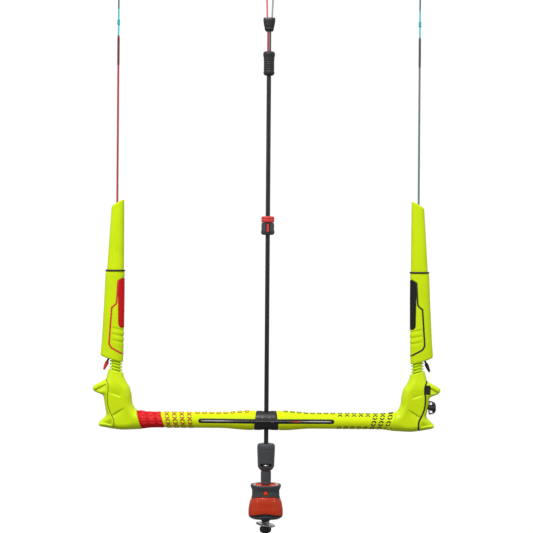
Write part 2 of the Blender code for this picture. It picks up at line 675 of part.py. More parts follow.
def trim_winder(housing, cap):
    """The drum, knob, pulley and release that wind the trim line into the right end."""
    along_x = Matrix.Translation((0, 0, KNOB_Z)) @ Matrix.Rotation(math.pi / 2, 4, "Y")
    axis = "bar_tilt_axis"
    shaft_r = 3.0
    cut(housing, rod_mesh(10.2, (228, 0, KNOB_Z), (280, 0, KNOB_Z), 20), axis)
    cut(housing, box_mesh((218, -11.4, -3), (240, -4.6, 20)), axis)
    cut(cap, rod_mesh(shaft_r + GAP, (250, 0, KNOB_Z), (280, 0, KNOB_Z), 16), axis)
    cut(bpy.data.objects["right_gasket"],
        rod_mesh(shaft_r + GAP, (250, 0, KNOB_Z), (280, 0, KNOB_Z), 16), axis)

    flange_r = 9.6
    drum = [(0, 229), (flange_r, 229), (flange_r, 231), (DRUM_R, 232), (DRUM_R, 240),
            (flange_r, 241), (flange_r, 243), (shaft_r, 244), (shaft_r, 273), (0, 273)]
    turned("trim_spool", drum, ALUMINIUM, "trim_knob_axis", sides=20, turn=along_x)

    lobes = 8
    rings = []
    for x, radius, wave in ((KNOB_X[0], 7.8, 0.4), (270.2, 10.4, 0.9), (277.4, 10.6, 0.9),
                            (KNOB_X[1], 9.0, 0.4)):
        rings.append([])
        for i in range(lobes * 3):
            a = math.tau * i / (lobes * 3)
            r = radius + wave * math.cos(lobes * a)
            rings[-1].append((x, r * math.cos(a), KNOB_Z + r * math.sin(a)))
    knob = solid("trim_knob", lofted_mesh(rings), BLACK, "trim_knob_axis")
    cut(knob, rod_mesh(shaft_r + GAP, (260, 0, KNOB_Z), (273.4, 0, KNOB_Z), 16),
        "trim_knob_axis")

    along_y = Matrix.Translation((PULLEY_X, TRIM_LINE_Y, PULLEY_Z)) @ Matrix.Rotation(
        math.pi / 2, 4, "X")
    wheel = [(PULLEY_R, -2.1), (PULLEY_R - 1.5, -1.4), (PULLEY_R - 1.5, 1.4), (PULLEY_R, 2.1),
             (1.3, 2.1), (1.3, -2.1)]
    turned("trim_pulley", wheel, ALUMINIUM, "trim_pulley_axis", sides=16, closed=True,
           turn=along_y)
    pin = rod_mesh(1.0, (PULLEY_X, -10.6, PULLEY_Z), (PULLEY_X, -5.2, PULLEY_Z), 10)
    solid("pulley_pin", pin, STEEL, axis)

    bend_r = PULLEY_R + TRIM_LINE_R
    bend = [(PULLEY_X + bend_r * math.sin(a), TRIM_LINE_Y, PULLEY_Z - bend_r * math.cos(a))
            for a in (math.radians(20 * k) for k in range(1, 5))]
    route = [(-SLOT_HALF - 8, TRIM_LINE_Y, 0), (0, TRIM_LINE_Y, 0), (120, TRIM_LINE_Y, 0),
             (200, TRIM_LINE_Y, 0), (222, TRIM_LINE_Y, 0), (PULLEY_X, TRIM_LINE_Y, 0),
             *bend, (DRUM_X, TRIM_LINE_Y, 12), (DRUM_X, TRIM_LINE_Y, KNOB_Z)]
    cord("trim_line", route, 2 * TRIM_LINE_R, GREY_LINE, axis)

    front = -13.6
    block = box_mesh((MARKER_X - MARKER_HALF, front, -1.5),
                     (MARKER_X + MARKER_HALF, TRIM_LINE_Y - TRIM_LINE_R - GAP, 1.5))
    rounded(solid("trim_marker", block, RED, "trim_marker_axis"), 0.5, 1)

    low, high = (264.3, 45.2), (270.1, 58.4)
    pocket = box_mesh((low[0] - GAP, -20, low[1] - GAP), (high[0] + GAP, 6, high[1] + GAP))
    cut(cap, pocket, axis)
    button = box_mesh((low[0], -13.2, low[1]), (high[0], -5.0, high[1]))
    rounded(solid("trim_release_button", button, BLACK, "trim_button_axis"), 0.8)
    spring("button_spring", (267.2, 0.5, 51.8), (0, 1, 0), 0.8, 2.0, 9.4, 4, STEEL, axis)


# ---------------------------------------------------------------- swivel and quick release


def swivel():
    low, high = COVER_Z
    outer = [(9.0, low), (13.7, low + 6), (14.0, low + 16), (14.85, high - 7),
             (14.6, high - 3), (12.4, high)]
    inner = [(SLIDE_R, high), (SLIDE_R, -55), (10.2, -57), (10.2, low + 7), (6.4, low + 3),
             (6.4, low)]
    cover = turned("swivel_cover", outer + inner, GREY, closed=True, sides=20)
    window = rod_mesh(1, (0, -20, -74.2), (0, 0, -74.2), 16)
    bmesh.ops.scale(window, vec=(9.6, 1, 3.0), verts=window.verts,
                    space=Matrix.Translation((0, 0, 74.2)))
    cut(cover, window)
    shaft = [(0, -112), (5.5, -112), (5.5, -78), (7.6, -77), (9.4, -74), (9.4, -68),
             (7.5, -64), (0, -64)]
    turned("swivel_shaft", shaft, STEEL, "swivel_axis", sides=20)
    outer = [(8.2, -105.0), (STEM_R, -103), (STEM_R, low - 1.4), (7.9, low - 0.4)]
    turned("swivel_stem", sleeve_profile(outer, 5.8), GREY, "swivel_axis", closed=True)


def squared_ring(z, half_x, power, sides=20):
    return [(x, y, z) for x, y in oval(half_x, half_x * RELEASE_DEPTH, sides, power)]


def quick_release():
    flange_r = RELEASE_BORE_R - GAP
    core = [(5.8, -106.4), (flange_r, -106.4), (flange_r, -109.8), (RELEASE_CORE_R, -110.6),
            (RELEASE_CORE_R, RELEASE_LOW + 0.1), (5.8, RELEASE_LOW + 0.1)]
    body = turned("release_core", core, ORANGE, "swivel_axis", closed=True)
    cut(body, box_mesh((-2.4, 4, -160), (2.4, 16, -134)), "swivel_axis")

    # the sliding handle: its skin, then its bore with the step for the return spring
    low = RELEASE_LOW
    skin = [(low, 28.2, 2.8), (low + 3, 28.5, 2.8), (-145, 28.4, 2.8), (-135, 26.8, 2.7),
            (-128.6, 24.2, 2.5), (-127.6, RELEASE_R, 2.2), (RELEASE_TOP, RELEASE_R, 2.2)]
    bores = [(RELEASE_TOP, RELEASE_BORE_R), (-134, RELEASE_BORE_R),
             (-134.5, RELEASE_SHOULDER_R), (-138, RELEASE_SHOULDER_R)]
    rings = [squared_ring(*s) for s in skin]
    rings += [[(x, y, z) for x, y in oval(r, r, 20)] for z, r in bores]
    rings += [squared_ring(-142, 22.5, 2.4), squared_ring(low, 24.2, 2.6)]
    solid("release_handle", lofted_mesh(rings, closed=True), ORANGE, "release_axis")

    grip = [(-127.2, 23.4, 2.4), (-124, 22.6, 2.4), (-114, 22.6, 2.4), (-109, 24.8, 2.4),
            (-106.4, 25.4, 2.4), (RELEASE_TOP, 24.4, 2.4)]
    rings = [squared_ring(*s) for s in grip]
    rings += [squared_ring(z, RELEASE_R + GAP + 0.05, 2.2) for z in (RELEASE_TOP, -127.2)]
    solid("release_grip", lofted_mesh(rings, closed=True), SLATE, "release_axis")

    base = [(low - GAP, 27.6, 2.8), (low - 2.2, 28.0, 2.8), (low - 6.0, 24.0, 2.6)]
    rings = [squared_ring(*s) for s in base]
    rings += [[(x, y, z) for x, y in oval(7.2, 7.2, 20)] for z in (low - 6.0, low - GAP)]
    solid("release_base", lofted_mesh(rings, closed=True), BLACK, "swivel_axis")

    spring("release_spring", (0, 0, -122.1), (0, 0, 1), 1.8, 14.9, 21.2, 4, STEEL,
           "swivel_axis")

    _, pin_y, pin_z = LATCH_PIVOT
    hook = [(pin_y - 2.6, pin_z + 3.0), (pin_y + 2.4, pin_z + 3.0), (pin_y + 2.4, -151.0),
            (pin_y + 0.8, -157.0), (4.0, -157.0), (4.0, -155.4), (pin_y - 2.2, -154.6),
            (pin_y - 2.6, -148.0)]
    latch = slab_mesh(hook, 2.0)
    latch.transform(Matrix.Rotation(math.pi / 2, 4, "Z"))
    latch = solid("release_latch", latch, STEEL, "latch_axis")
    cut(latch, rod_mesh(1.5, (-6, pin_y, pin_z), (6, pin_y, pin_z), 12), "latch_axis")
    solid("latch_pin", rod_mesh(1.2, (-2.2, pin_y, pin_z), (2.2, pin_y, pin_z), 12), STEEL,
          "swivel_axis")

    post = [(0, -149), (3.4, -149), (5.2, -151), (5.2, -153.6), (3.3, -154.6), (3.3, -158),
            (6.6, -158.6), (6.6, -163.9), (10.4, -164.2), (10.2, -165.2), (6.4, -168.2),
            (6.4, -174.8), (0, -174.8)]
    turned("loop_post", post, STEEL, "swivel_axis", sides=16)

    ring = turned_mesh([(11.2, -1.3), (15.4, -1.3), (16.4, -0.5), (16.4, 0.7), (14.6, 1.3),
                        (8.6, 1.3), (8.0, 0.7), (8.0, -0.4)], 24, True)
    ring.transform(Matrix.Translation((0, 0, RING_Z)) @ Matrix.Rotation(RING_TILT, 4, "Y"))
    solid("leash_ring", ring, STEEL, "leash_ring_axis")

    low, high = SOCKET_Z
    knob = [(0, low), (7.6, low), (8.8, low + 1.2), (9.9, high - 3), (9.6, high - 0.8),
            (8.6, high), (0, high)]
    turned("loop_socket", knob, BLACK, "swivel_axis", sides=20)


# y, z of the harness loop, down one leg and up the other
LOOP_ROUTE = ((-5.3, -184.8), (-5.3, -192.0), (-9.5, -203.0), (-18.5, -218.0), (-24.5, -236.0),
              (-23.5, -256.0), (-14.0, -269.5), (0.0, -273.5))


def harness_loop():
    leg = [(0, y, z) for y, z in LOOP_ROUTE]
    route = leg + [(0, -y, z) for _, y, z in leg[-2::-1]]
    cord("harness_loop", route, 2 * LOOP_R, SLATE, "swivel_axis", resolution=3, spacing=0.8)


front_lines()
line_splitter()
centre_line()
stopper()
bar()
necks(-1, "left")
necks(1, "right")
floats(-1, "left", RED)
floats(1, "right", BLACK)
steering_lines(-1, "left", RED_LINE, RED_LINE)
steering_lines(1, "right", GREY_LINE, GREY_LINE)
retainer(-1, "left", RED)
retainer(1, "right", RUBBER)
housings(-1, "left", SIDE_GAP)
right_housing, right_cap = housings(1, "right", GASKET + 2 * GAP)
gasket()
trim_winder(right_housing, right_cap)
swivel()
quick_release()
harness_loop()
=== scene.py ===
"""The looks of the kite control bar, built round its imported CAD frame.

Shapes are written in millimetres from the middle of the bar (X along the bar, Z up the lines,
-Y the front) and placed in metres. The organic pieces are surfaces of distance fields; the
round ones are lofts. Each piece stands for its CAD nodes and rides on their body.
"""

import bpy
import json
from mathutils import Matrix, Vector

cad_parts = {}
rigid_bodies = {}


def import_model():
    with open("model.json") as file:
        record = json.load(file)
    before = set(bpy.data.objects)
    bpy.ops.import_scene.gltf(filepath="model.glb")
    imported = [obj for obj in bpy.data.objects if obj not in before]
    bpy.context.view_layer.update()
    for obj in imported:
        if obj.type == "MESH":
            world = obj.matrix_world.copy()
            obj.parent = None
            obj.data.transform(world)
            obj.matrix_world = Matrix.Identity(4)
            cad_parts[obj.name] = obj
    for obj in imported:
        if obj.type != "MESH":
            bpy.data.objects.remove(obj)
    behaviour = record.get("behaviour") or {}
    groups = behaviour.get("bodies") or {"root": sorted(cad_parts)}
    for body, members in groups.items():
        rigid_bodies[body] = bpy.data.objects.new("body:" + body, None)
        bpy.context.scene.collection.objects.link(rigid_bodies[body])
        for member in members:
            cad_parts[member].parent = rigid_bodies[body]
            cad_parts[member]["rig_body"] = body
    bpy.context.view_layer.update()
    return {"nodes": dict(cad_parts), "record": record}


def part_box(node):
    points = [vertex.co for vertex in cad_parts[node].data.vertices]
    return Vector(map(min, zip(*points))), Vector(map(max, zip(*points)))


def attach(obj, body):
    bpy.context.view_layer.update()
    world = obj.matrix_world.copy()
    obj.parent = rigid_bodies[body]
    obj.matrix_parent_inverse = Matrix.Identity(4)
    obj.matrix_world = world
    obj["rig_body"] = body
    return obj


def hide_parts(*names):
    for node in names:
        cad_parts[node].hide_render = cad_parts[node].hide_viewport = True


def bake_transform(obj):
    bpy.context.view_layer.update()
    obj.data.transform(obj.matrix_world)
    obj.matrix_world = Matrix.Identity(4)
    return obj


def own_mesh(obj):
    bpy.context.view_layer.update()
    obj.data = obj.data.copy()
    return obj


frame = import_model()

import json
import math

import bmesh
import bpy
import numpy as np
from mathutils import Matrix, Vector

MM = 0.001
SLOTS = {row["node"]: row["material_slot"] for row in frame["record"]["subparts"]}


def middle_of(node):
    low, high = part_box(node)
    return (low + high) / 2


BAR = middle_of("bar_core")  # the middle of the bar
GAP = 0.3  # between neighbouring pieces

# Lines
LINE_X = middle_of("left_leader_line").x / -MM
LEADER_D, SLEEVE_D, FLYING_D, FRONT_D, BRAID_D = 3.4, 4.0, 2.6, 2.8, 3.4
LEADER_Z = (345.0, 583.0)
SLEEVE_Z = (583.3, 633.0)
LINE_TOP = 745.0
JOINING_KNOT_Z = 655.0
SPLITTER_Z = (641.7, 664.1)

# Bar
GRIP_R, HUB_R = 13.0, 15.95
CORE_R = 11.8
END_SLANT = 0.3
BAND_SLANT = 0.27
INSERT_HALF, INSERT_SLANT = 18.6, -0.13
BAND_X = (170.7, 209.0)
WINDOW_HALF, WINDOW_HALF_HEIGHT = 111.3, 3.5
SLOT_HALF, SLOT_HALF_HEIGHT = 107.5, 1.9
HINGE_X = 248.5
NECK_SLANT = 0.28
KNOB_Z = 22.9
SHAFT_HOLE_R = 3.3  # round the winder's shaft
O_RING_Z = 245.5

scene = bpy.context.scene


def box_of(node):
    """A CAD node's box in millimetres from the middle of the bar."""
    return [(corner - BAR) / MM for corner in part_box(node)]


def squared(value, power):
    """A sine or cosine that squares the oval it draws, the more so the lower the power."""
    return math.copysign(abs(value) ** power, value)


def spot(x, y, z):
    """A point in the frame, in metres, from millimetres off the middle of the bar."""
    return BAR + Vector((x, y, z)) * MM


# ---------------------------------------------------------------- camera, light and floor


def camera():
    lens_width, distance, view_height = 36.0, 2100.0, 879.5
    data = bpy.data.cameras.new("camera")
    data.sensor_width = lens_width
    data.lens = lens_width * distance / view_height
    data.clip_end = 50
    view = bpy.data.objects.new("camera", data)
    scene.collection.objects.link(view)
    roll = math.radians(0.44)
    view.matrix_world = (
        Matrix.Translation(spot(-1.6, -distance, 253.9))
        @ Matrix.Rotation(math.pi / 2, 4, "X") @ Matrix.Rotation(roll, 4, "Z")
    )
    scene.camera = view


def lamp(name, place, target, size, power):
    data = bpy.data.lights.new(name, "AREA")
    data.shape = "DISK"
    data.size = size
    data.energy = power
    light = bpy.data.objects.new(name, data)
    scene.collection.objects.link(light)
    light.location = place
    light.rotation_euler = (Vector(target) - Vector(place)).to_track_quat("-Z", "Y").to_euler()


def studio():
    """White behind the object, softer all round, and a large soft lamp above the front."""
    scene.view_settings.view_transform = "Standard"
    world = bpy.data.worlds.new("studio")
    scene.world = world
    world.use_nodes = True
    nodes, links = world.node_tree.nodes, world.node_tree.links
    where = nodes.new("ShaderNodeTexCoord")
    split = nodes.new("ShaderNodeSeparateXYZ")
    links.new(where.outputs["Generated"], split.inputs[0])
    levels = []
    for axis, start, end, low, high in (("Z", -0.75, 0.85, 0.03, 0.8), ("Y", 0.78, 0.93, 0, 1.02)):
        level = nodes.new("ShaderNodeMapRange")
        level.interpolation_type = "SMOOTHSTEP"
        for label, number in (("From Min", start), ("From Max", end), ("To Min", low),
                              ("To Max", high)):
            level.inputs[label].default_value = number
        links.new(split.outputs[axis], level.inputs["Value"])
        levels.append(level.outputs[0])
    most = nodes.new("ShaderNodeMath")
    most.operation = "MAXIMUM"
    for value, socket in zip(levels, most.inputs):
        links.new(value, socket)
    links.new(most.outputs[0], nodes["Background"].inputs["Strength"])
    nodes["Background"].inputs["Color"].default_value = (1, 1, 1, 1)

    lamp("key", (-0.4, -1.35, 1.1), BAR + Vector((0, 0, 0.15)), 1.0, 35)
    for side in (-1, 1):
        lamp(f"side_{side}", (side * 1.5, -0.75, -0.2), BAR, 0.4, 3)

    floor_z, floor_r = -1.5, 2.5
    mesh = bpy.data.meshes.new("floor")
    ring = [(floor_r * math.cos(a), floor_r * math.sin(a), floor_z)
            for a in (math.tau * k / 96 for k in range(96))]
    mesh.from_pydata(ring, [], [tuple(range(96))])
    floor = bpy.data.objects.new("floor", mesh)
    scene.collection.objects.link(floor)
    paint = Paint("floor_paint", (0.2, 0.2, 0.2), 0.7)
    paint.grain(900, 0.02, 0.0002)
    mesh.materials.append(paint.done())


# ---------------------------------------------------------------- materials


class Paint:
    """A procedural material, built up step by step on one Principled shader."""

    def __init__(self, name, colour, roughness, metallic=0.0, coat=0.0, sheen=0.0, shine=0.5):
        self.mat = bpy.data.materials.new(name)
        self.mat.use_nodes = True
        self.nodes = self.mat.node_tree.nodes
        self.links = self.mat.node_tree.links
        self.shader = self.nodes["Principled BSDF"]
        self.shader.inputs["Base Color"].default_value = (*colour, 1)
        self.shader.inputs["Roughness"].default_value = roughness
        self.shader.inputs["Metallic"].default_value = metallic
        self.shader.inputs["Coat Weight"].default_value = coat
        self.shader.inputs["Coat Roughness"].default_value = 0.12
        self.shader.inputs["Sheen Weight"].default_value = sheen
        self.shader.inputs["Specular IOR Level"].default_value = shine
        self.colour = colour
        self.roughness = roughness
        self.colour_out = None
        self.height_out = None

    def place(self, kind="Object", stretch=(1, 1, 1)):
        where = self.nodes.new("ShaderNodeTexCoord")
        scale = self.nodes.new("ShaderNodeMapping")
        scale.inputs["Scale"].default_value = stretch
        self.links.new(where.outputs[kind], scale.inputs[0])
        return scale.outputs[0]

    def noise(self, scale, detail=3.0, stretch=(1, 1, 1)):
        node = self.nodes.new("ShaderNodeTexNoise")
        node.inputs["Scale"].default_value = scale
        node.inputs["Detail"].default_value = detail
        self.links.new(self.place(stretch=stretch), node.inputs["Vector"])
        return node.outputs["Fac"]

    def cells(self, scale, feature="F1", stretch=(1, 1, 1)):
        node = self.nodes.new("ShaderNodeTexVoronoi")
        node.feature = feature
        node.inputs["Scale"].default_value = scale
        self.links.new(self.place(stretch=stretch), node.inputs["Vector"])
        return node.outputs["Distance"]

    def ranged(self, value, low, high, to_low=0.0, to_high=1.0):
        node = self.nodes.new("ShaderNodeMapRange")
        for name, number in (("From Min", low), ("From Max", high),
                             ("To Min", to_low), ("To Max", to_high)):
            node.inputs[name].default_value = number
        self.links.new(value, node.inputs["Value"])
        return node.outputs[0]

    def math(self, operation, a, b=0.0):
        node = self.nodes.new("ShaderNodeMath")
        node.operation = operation
        for socket, value in zip(node.inputs, (a, b)):
            if isinstance(value, (int, float)):
                socket.default_value = value
            else:
                self.links.new(value, socket)
        return node.outputs[0]

    def tint(self, share, colour):
        """Mixes another colour in where share is high."""
        node = self.nodes.new("ShaderNodeMix")
        node.data_type = "RGBA"
        node.clamp_factor = True
        self.links.new(share, node.inputs["Factor"])
        if self.colour_out is None:
            node.inputs["A"].default_value = (*self.colour, 1)
        else:
            self.links.new(self.colour_out, node.inputs["A"])
        node.inputs["B"].default_value = (*colour, 1)
        self.colour_out = node.outputs["Result"]
        return self

    def raise_by(self, height, distance, strength=1.0):
        """Adds a bump layer, distance metres high."""
        node = self.nodes.new("ShaderNodeBump")
        node.inputs["Distance"].default_value = distance
        node.inputs["Strength"].default_value = strength
        self.links.new(height, node.inputs["Height"])
        if self.height_out is not None:
            self.links.new(self.height_out, node.inputs["Normal"])
        self.height_out = node.outputs[0]
        return self

    def grain(self, scale, tone, depth, stretch=(1, 1, 1)):
        """A fine grain with painted shade in its pits: a share of tone darker there, depth metres
        deep.
        """
        grain = self.noise(scale, 4.0, stretch)
        self.tint(self.ranged(grain, 0.35, 0.6, tone * 6, 0), [c * 0.72 for c in self.colour])
        return self.raise_by(grain, depth)

    def patchy(self, scale, spread):
        """Roughness that drifts over the surface."""
        drift = self.noise(scale, 2.0)
        low, high = self.roughness - spread, min(self.roughness + spread, 1.0)
        self.links.new(self.ranged(drift, 0.3, 0.7, low, high), self.shader.inputs["Roughness"])
        return self

    def done(self):
        if self.colour_out is not None:
            self.links.new(self.colour_out, self.shader.inputs["Base Color"])
        if self.height_out is not None:
            self.links.new(self.height_out, self.shader.inputs["Normal"])
        return self.mat


def foam(name, colour, pit, roughness=0.72):
    """Closed-cell foam: fine cells with the pit colour in their pits, which is painted shade where
    that colour is the darker one, and broad soft changes of tone.
    """
    paint = Paint(name, colour, roughness, shine=0.14)
    paint.patchy(60, 0.06)
    paint.tint(paint.ranged(paint.noise(35, 3), 0.35, 0.75, 0, 0.35), pit)
    cells = paint.cells(1500)
    # the pit colour at the middle of each cell, where the bump sinks: painted shade, except in the
    # black foam, whose pit colour is lighter
    paint.tint(paint.ranged(cells, 0.28, 0.0, 0, 0.45), pit)
    paint.raise_by(cells, 0.00010, 0.7)
    paint.raise_by(paint.noise(420, 4), 0.00016, 0.6)
    return paint.done()


def moulded(name, colour, roughness=0.45, grain=0.00004, coat=0.0, shine=0.5, mottle=0.3):
    """Moulded plastic with a fine spark texture and slight changes of tone and gloss."""
    paint = Paint(name, colour, roughness, coat=coat, shine=shine)
    paint.patchy(45, 0.07)
    paint.tint(paint.ranged(paint.noise(28, 3), 0.4, 0.75, 0, mottle), [c * 0.8 for c in colour])
    paint.raise_by(paint.noise(1700, 3), grain, 0.8)
    return paint.done()


def rubber(name, colour, roughness=0.62):
    """Matt rubber with a fine leathery skin and dusty high spots."""
    paint = Paint(name, colour, roughness, sheen=0.1)
    paint.patchy(80, 0.08)
    dusty = [c * 0.9 + 0.012 for c in colour]
    paint.tint(paint.ranged(paint.noise(240, 4), 0.5, 0.75, 0, 0.5), dusty)
    paint.raise_by(paint.cells(1100), 0.00006, 0.8)
    return paint.done()


def metal(name, colour, roughness=0.3, stretch=(1, 1, 12)):
    """Brushed metal, its lines along the direction with the smallest stretch."""
    paint = Paint(name, colour, roughness, metallic=1.0)
    lines = paint.noise(180, 4, stretch)
    node = paint.ranged(lines, 0.3, 0.7, roughness - 0.1, roughness + 0.14)
    paint.links.new(node, paint.shader.inputs["Roughness"])
    paint.tint(paint.ranged(lines, 0.45, 0.7, 0, 0.4), [c * 0.75 for c in colour])
    paint.raise_by(lines, 0.00003, 0.6)
    return paint.done()


def braid(name, colour, dark, strands, pitch):
    """A braided line: two sets of crossing strands, from the tube's own turn and length."""
    paint = Paint(name, colour, 0.85, sheen=0.3)
    split = paint.nodes.new("ShaderNodeSeparateXYZ")
    paint.links.new(paint.place("UV"), split.inputs[0])
    turn = paint.math("MULTIPLY", split.outputs["X"], strands * math.tau)
    along = paint.math("MULTIPLY", split.outputs["Y"], math.tau / pitch)
    waves = [paint.math("SINE", paint.math(way, along, turn)) for way in ("ADD", "SUBTRACT")]
    weave = paint.math("MAXIMUM", *waves)
    paint.tint(paint.ranged(weave, 0.55, -0.2, 0, 0.85), dark)
    paint.tint(paint.ranged(paint.noise(260, 3), 0.45, 0.7, 0, 0.3), [c * 1.25 for c in colour])
    paint.raise_by(weave, 0.00022, 0.9)
    paint.raise_by(paint.noise(2600, 2), 0.00005, 0.6)
    return paint.done()


NEON = (0.62, 0.80, 0.004)
# the neon's darker tone, laid on at random and as painted shade in the cell pits
NEON_PIT = (0.46, 0.64, 0.002)

studio_mats = {
    "neon_foam": foam("neon_foam", NEON, NEON_PIT),
    "grip_foam": foam("grip_foam", (0.70, 0.84, 0.004), (0.56, 0.74, 0.002), 0.62),
    "neon_shell": moulded("neon_shell", (0.61, 0.79, 0.003), 0.36, 0.00003, shine=0.22),
    "neon_neck": moulded("neon_neck", (0.60, 0.80, 0.004), 0.5, shine=0.2),
    "red_foam": foam("red_foam", (0.62, 0.006, 0.009), (0.48, 0.004, 0.006), 0.55),
    "band_ring": foam("band_ring", (0.84, 0.045, 0.045), (0.72, 0.02, 0.024), 0.5),
    "pattern_red": rubber("pattern_red", (0.40, 0.045, 0.004), 0.6),
    "pattern_black": rubber("pattern_black", (0.012, 0.014, 0.006), 0.6),
    "stripe_red": rubber("stripe_red", (0.62, 0.03, 0.01), 0.55),
    "black_foam": foam("black_foam", (0.011, 0.011, 0.012), (0.024, 0.024, 0.026), 0.6),
    "black_rubber": rubber("black_rubber", (0.009, 0.009, 0.010)),
    "red_rubber": rubber("red_rubber", (0.72, 0.03, 0.02), 0.5),
    "black_plastic": moulded("black_plastic", (0.006, 0.006, 0.007), 0.42),
    "tube_coating": moulded("tube_coating", (0.010, 0.0105, 0.011), 0.34, 0.000006,
                            mottle=0.1),
    "red_plastic": moulded("red_plastic", (0.62, 0.035, 0.03), 0.4),
    "marker_red": moulded("marker_red", (0.78, 0.14, 0.11), 0.45),
    "slate_rubber": rubber("slate_rubber", (0.03, 0.038, 0.043), 0.6),
    # used only for the painted shade round the stopper's key
    "dark_rubber": rubber("dark_rubber", (0.006, 0.007, 0.008), 0.6),
    "grey_rubber": rubber("grey_rubber", (0.045, 0.047, 0.055), 0.55),
    "orange_gloss": moulded("orange_gloss", (0.48, 0.028, 0.0004), 0.22, 0.00001, coat=0.3,
                            shine=0.3),
    "orange_matt": moulded("orange_matt", (0.75, 0.045, 0.004), 0.55, shine=0.15),
    "rim_slate": moulded("rim_slate", (0.014, 0.022, 0.027), 0.35),
    # used only behind the swivel's window, as painted shade
    "dark_glass": moulded("dark_glass", (0.008, 0.008, 0.009), 0.12, 0.000005, coat=0.6),
    "steel": metal("steel", (0.42, 0.42, 0.43)),
    "dark_aluminium": metal("dark_aluminium", (0.09, 0.09, 0.095), 0.4, (12, 1, 12)),
    # a neon darkened to olive for the floor of the left seam: painted shade
    "seam_shade_olive": rubber("seam_shade_olive", (0.05, 0.07, 0.01)),
    "red_line": braid("red_line", (0.50, 0.035, 0.05), (0.24, 0.015, 0.02), 2, 0.0034),
    "pink_line": braid("pink_line", (0.78, 0.13, 0.15), (0.5, 0.05, 0.07), 2, 0.003),
    "dark_red_line": braid("dark_red_line", (0.19, 0.012, 0.016), (0.09, 0.006, 0.01), 3, 0.0026),
    "grey_line": braid("grey_line", (0.17, 0.21, 0.225), (0.09, 0.12, 0.13), 2, 0.0034),
    "light_grey_line": braid("light_grey_line", (0.34, 0.36, 0.37), (0.2, 0.21, 0.22), 2, 0.003),
    "dark_grey_line": braid("dark_grey_line", (0.075, 0.085, 0.1), (0.03, 0.035, 0.045), 3,
                            0.0026),
    # much lighter than the trim line's own grey: painted light that makes up for the shade under the
    # slot's lip
    "trim_grey": braid("trim_grey", (0.68, 0.68, 0.71), (0.5, 0.5, 0.53), 2, 0.0022),
    "teal_line": braid("teal_line", (0.012, 0.52, 0.6), (0.006, 0.34, 0.4), 2, 0.003),
    "dark_teal_line": braid("dark_teal_line", (0.006, 0.13, 0.15), (0.004, 0.08, 0.1), 2,
                            0.003),
}


# ---------------------------------------------------------------- mesh tools


def piece(name, points, faces, paint, angle=40.0):
    """An object from points in millimetres off the middle of the bar."""
    mesh = bpy.data.meshes.new(name)
    places = np.asarray(points, float) * MM + np.array(BAR)
    mesh.from_pydata(places.tolist(), [], [list(map(int, f)) for f in faces])
    mesh.shade_smooth()
    mesh.set_sharp_from_angle(angle=math.radians(angle))
    mesh.materials.append(studio_mats[paint])
    made = bpy.data.objects.new(name, mesh)
    scene.collection.objects.link(made)
    return made


def stands_for(made, *nodes, body=None):
    """Puts a piece in the place of CAD nodes, on their body."""
    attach(made, body or frame["nodes"][nodes[0]]["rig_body"])
    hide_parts(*nodes)
    return made


def extra(made, node):
    """A detail that rides with a CAD node that another piece stands for."""
    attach(made, frame["nodes"][node]["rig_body"])
    return made


def loft(rings, closed=False):
    """Points and faces of a skin over rings, capped, or joined last to first if closed."""
    count, sides = len(rings), len(rings[0])
    points = [p for ring in rings for p in ring]
    faces = []
    for i in range(count if closed else count - 1):
        j = (i + 1) % count
        for k in range(sides):
            n = (k + 1) % sides
            faces.append((i * sides + k, i * sides + n, j * sides + n, j * sides + k))
    if not closed:
        faces.append(range(sides - 1, -1, -1))
        faces.append(range((count - 1) * sides, count * sides))
    return points, faces


def face_out(made):
    bm = bmesh.new()
    bm.from_mesh(made.data)
    bmesh.ops.remove_doubles(bm, verts=bm.verts, dist=1e-7)
    bmesh.ops.recalc_face_normals(bm, faces=bm.faces)
    bm.to_mesh(made.data)
    bm.free()
    made.data.set_sharp_from_angle(angle=math.radians(40))
    return made


def softened(profile, radius=0.4, steps=3):
    """A (radius, height) profile with its corners cut back into small arcs."""
    result = []
    count = len(profile)
    for i, here in enumerate(profile):
        here = np.array(here, float)
        before, after = np.array(profile[i - 1], float), np.array(profile[(i + 1) % count], float)
        back, forth = before - here, after - here
        cut = min(radius, np.linalg.norm(back) * 0.4, np.linalg.norm(forth) * 0.4)
        if cut < 0.02 or here[0] < 0.01:
            result.append(tuple(here))
            continue
        start = here + back / np.linalg.norm(back) * cut
        end = here + forth / np.linalg.norm(forth) * cut
        for k in range(steps + 1):
            t = k / steps
            result.append(tuple((1 - t) ** 2 * start + 2 * t * (1 - t) * here + t * t * end))
    return result


def turned(name, profile, paint, sides=64, ripple=None, turn=None, rounding=0.4):
    """A piece turned about Z from a closed (radius, height) profile."""
    outline = softened(profile, rounding)
    rings = []
    for k in range(sides):
        a = math.tau * k / sides
        ring = []
        for r, z in outline:
            grow = ripple(a, r, z) if ripple else 0.0
            point = Vector(((r + grow) * math.cos(a), (r + grow) * math.sin(a), z))
            ring.append(tuple(turn @ point if turn else point))
        rings.append(ring)
    return face_out(piece(name, *loft(rings, closed=True), paint))


def eased(route, reach):
    """A flat route whose corners are eased over a reach, its straights kept straight."""
    points = [np.array(p, float) for p in route]
    result = [points[0], points[0] * 0.7 + points[1] * 0.3]
    for before, here, after in zip(points, points[1:], points[2:]):
        back, forth = before - here, after - here
        cut = [min(reach, np.linalg.norm(v) * 0.4) / np.linalg.norm(v) for v in (back, forth)]
        start, end = here + back * cut[0], here + forth * cut[1]
        result += [start, (start + end + 2 * here) / 4, end]
    result += [points[-1] * 0.7 + points[-2] * 0.3, points[-1]]
    return [tuple(p) for p in result]


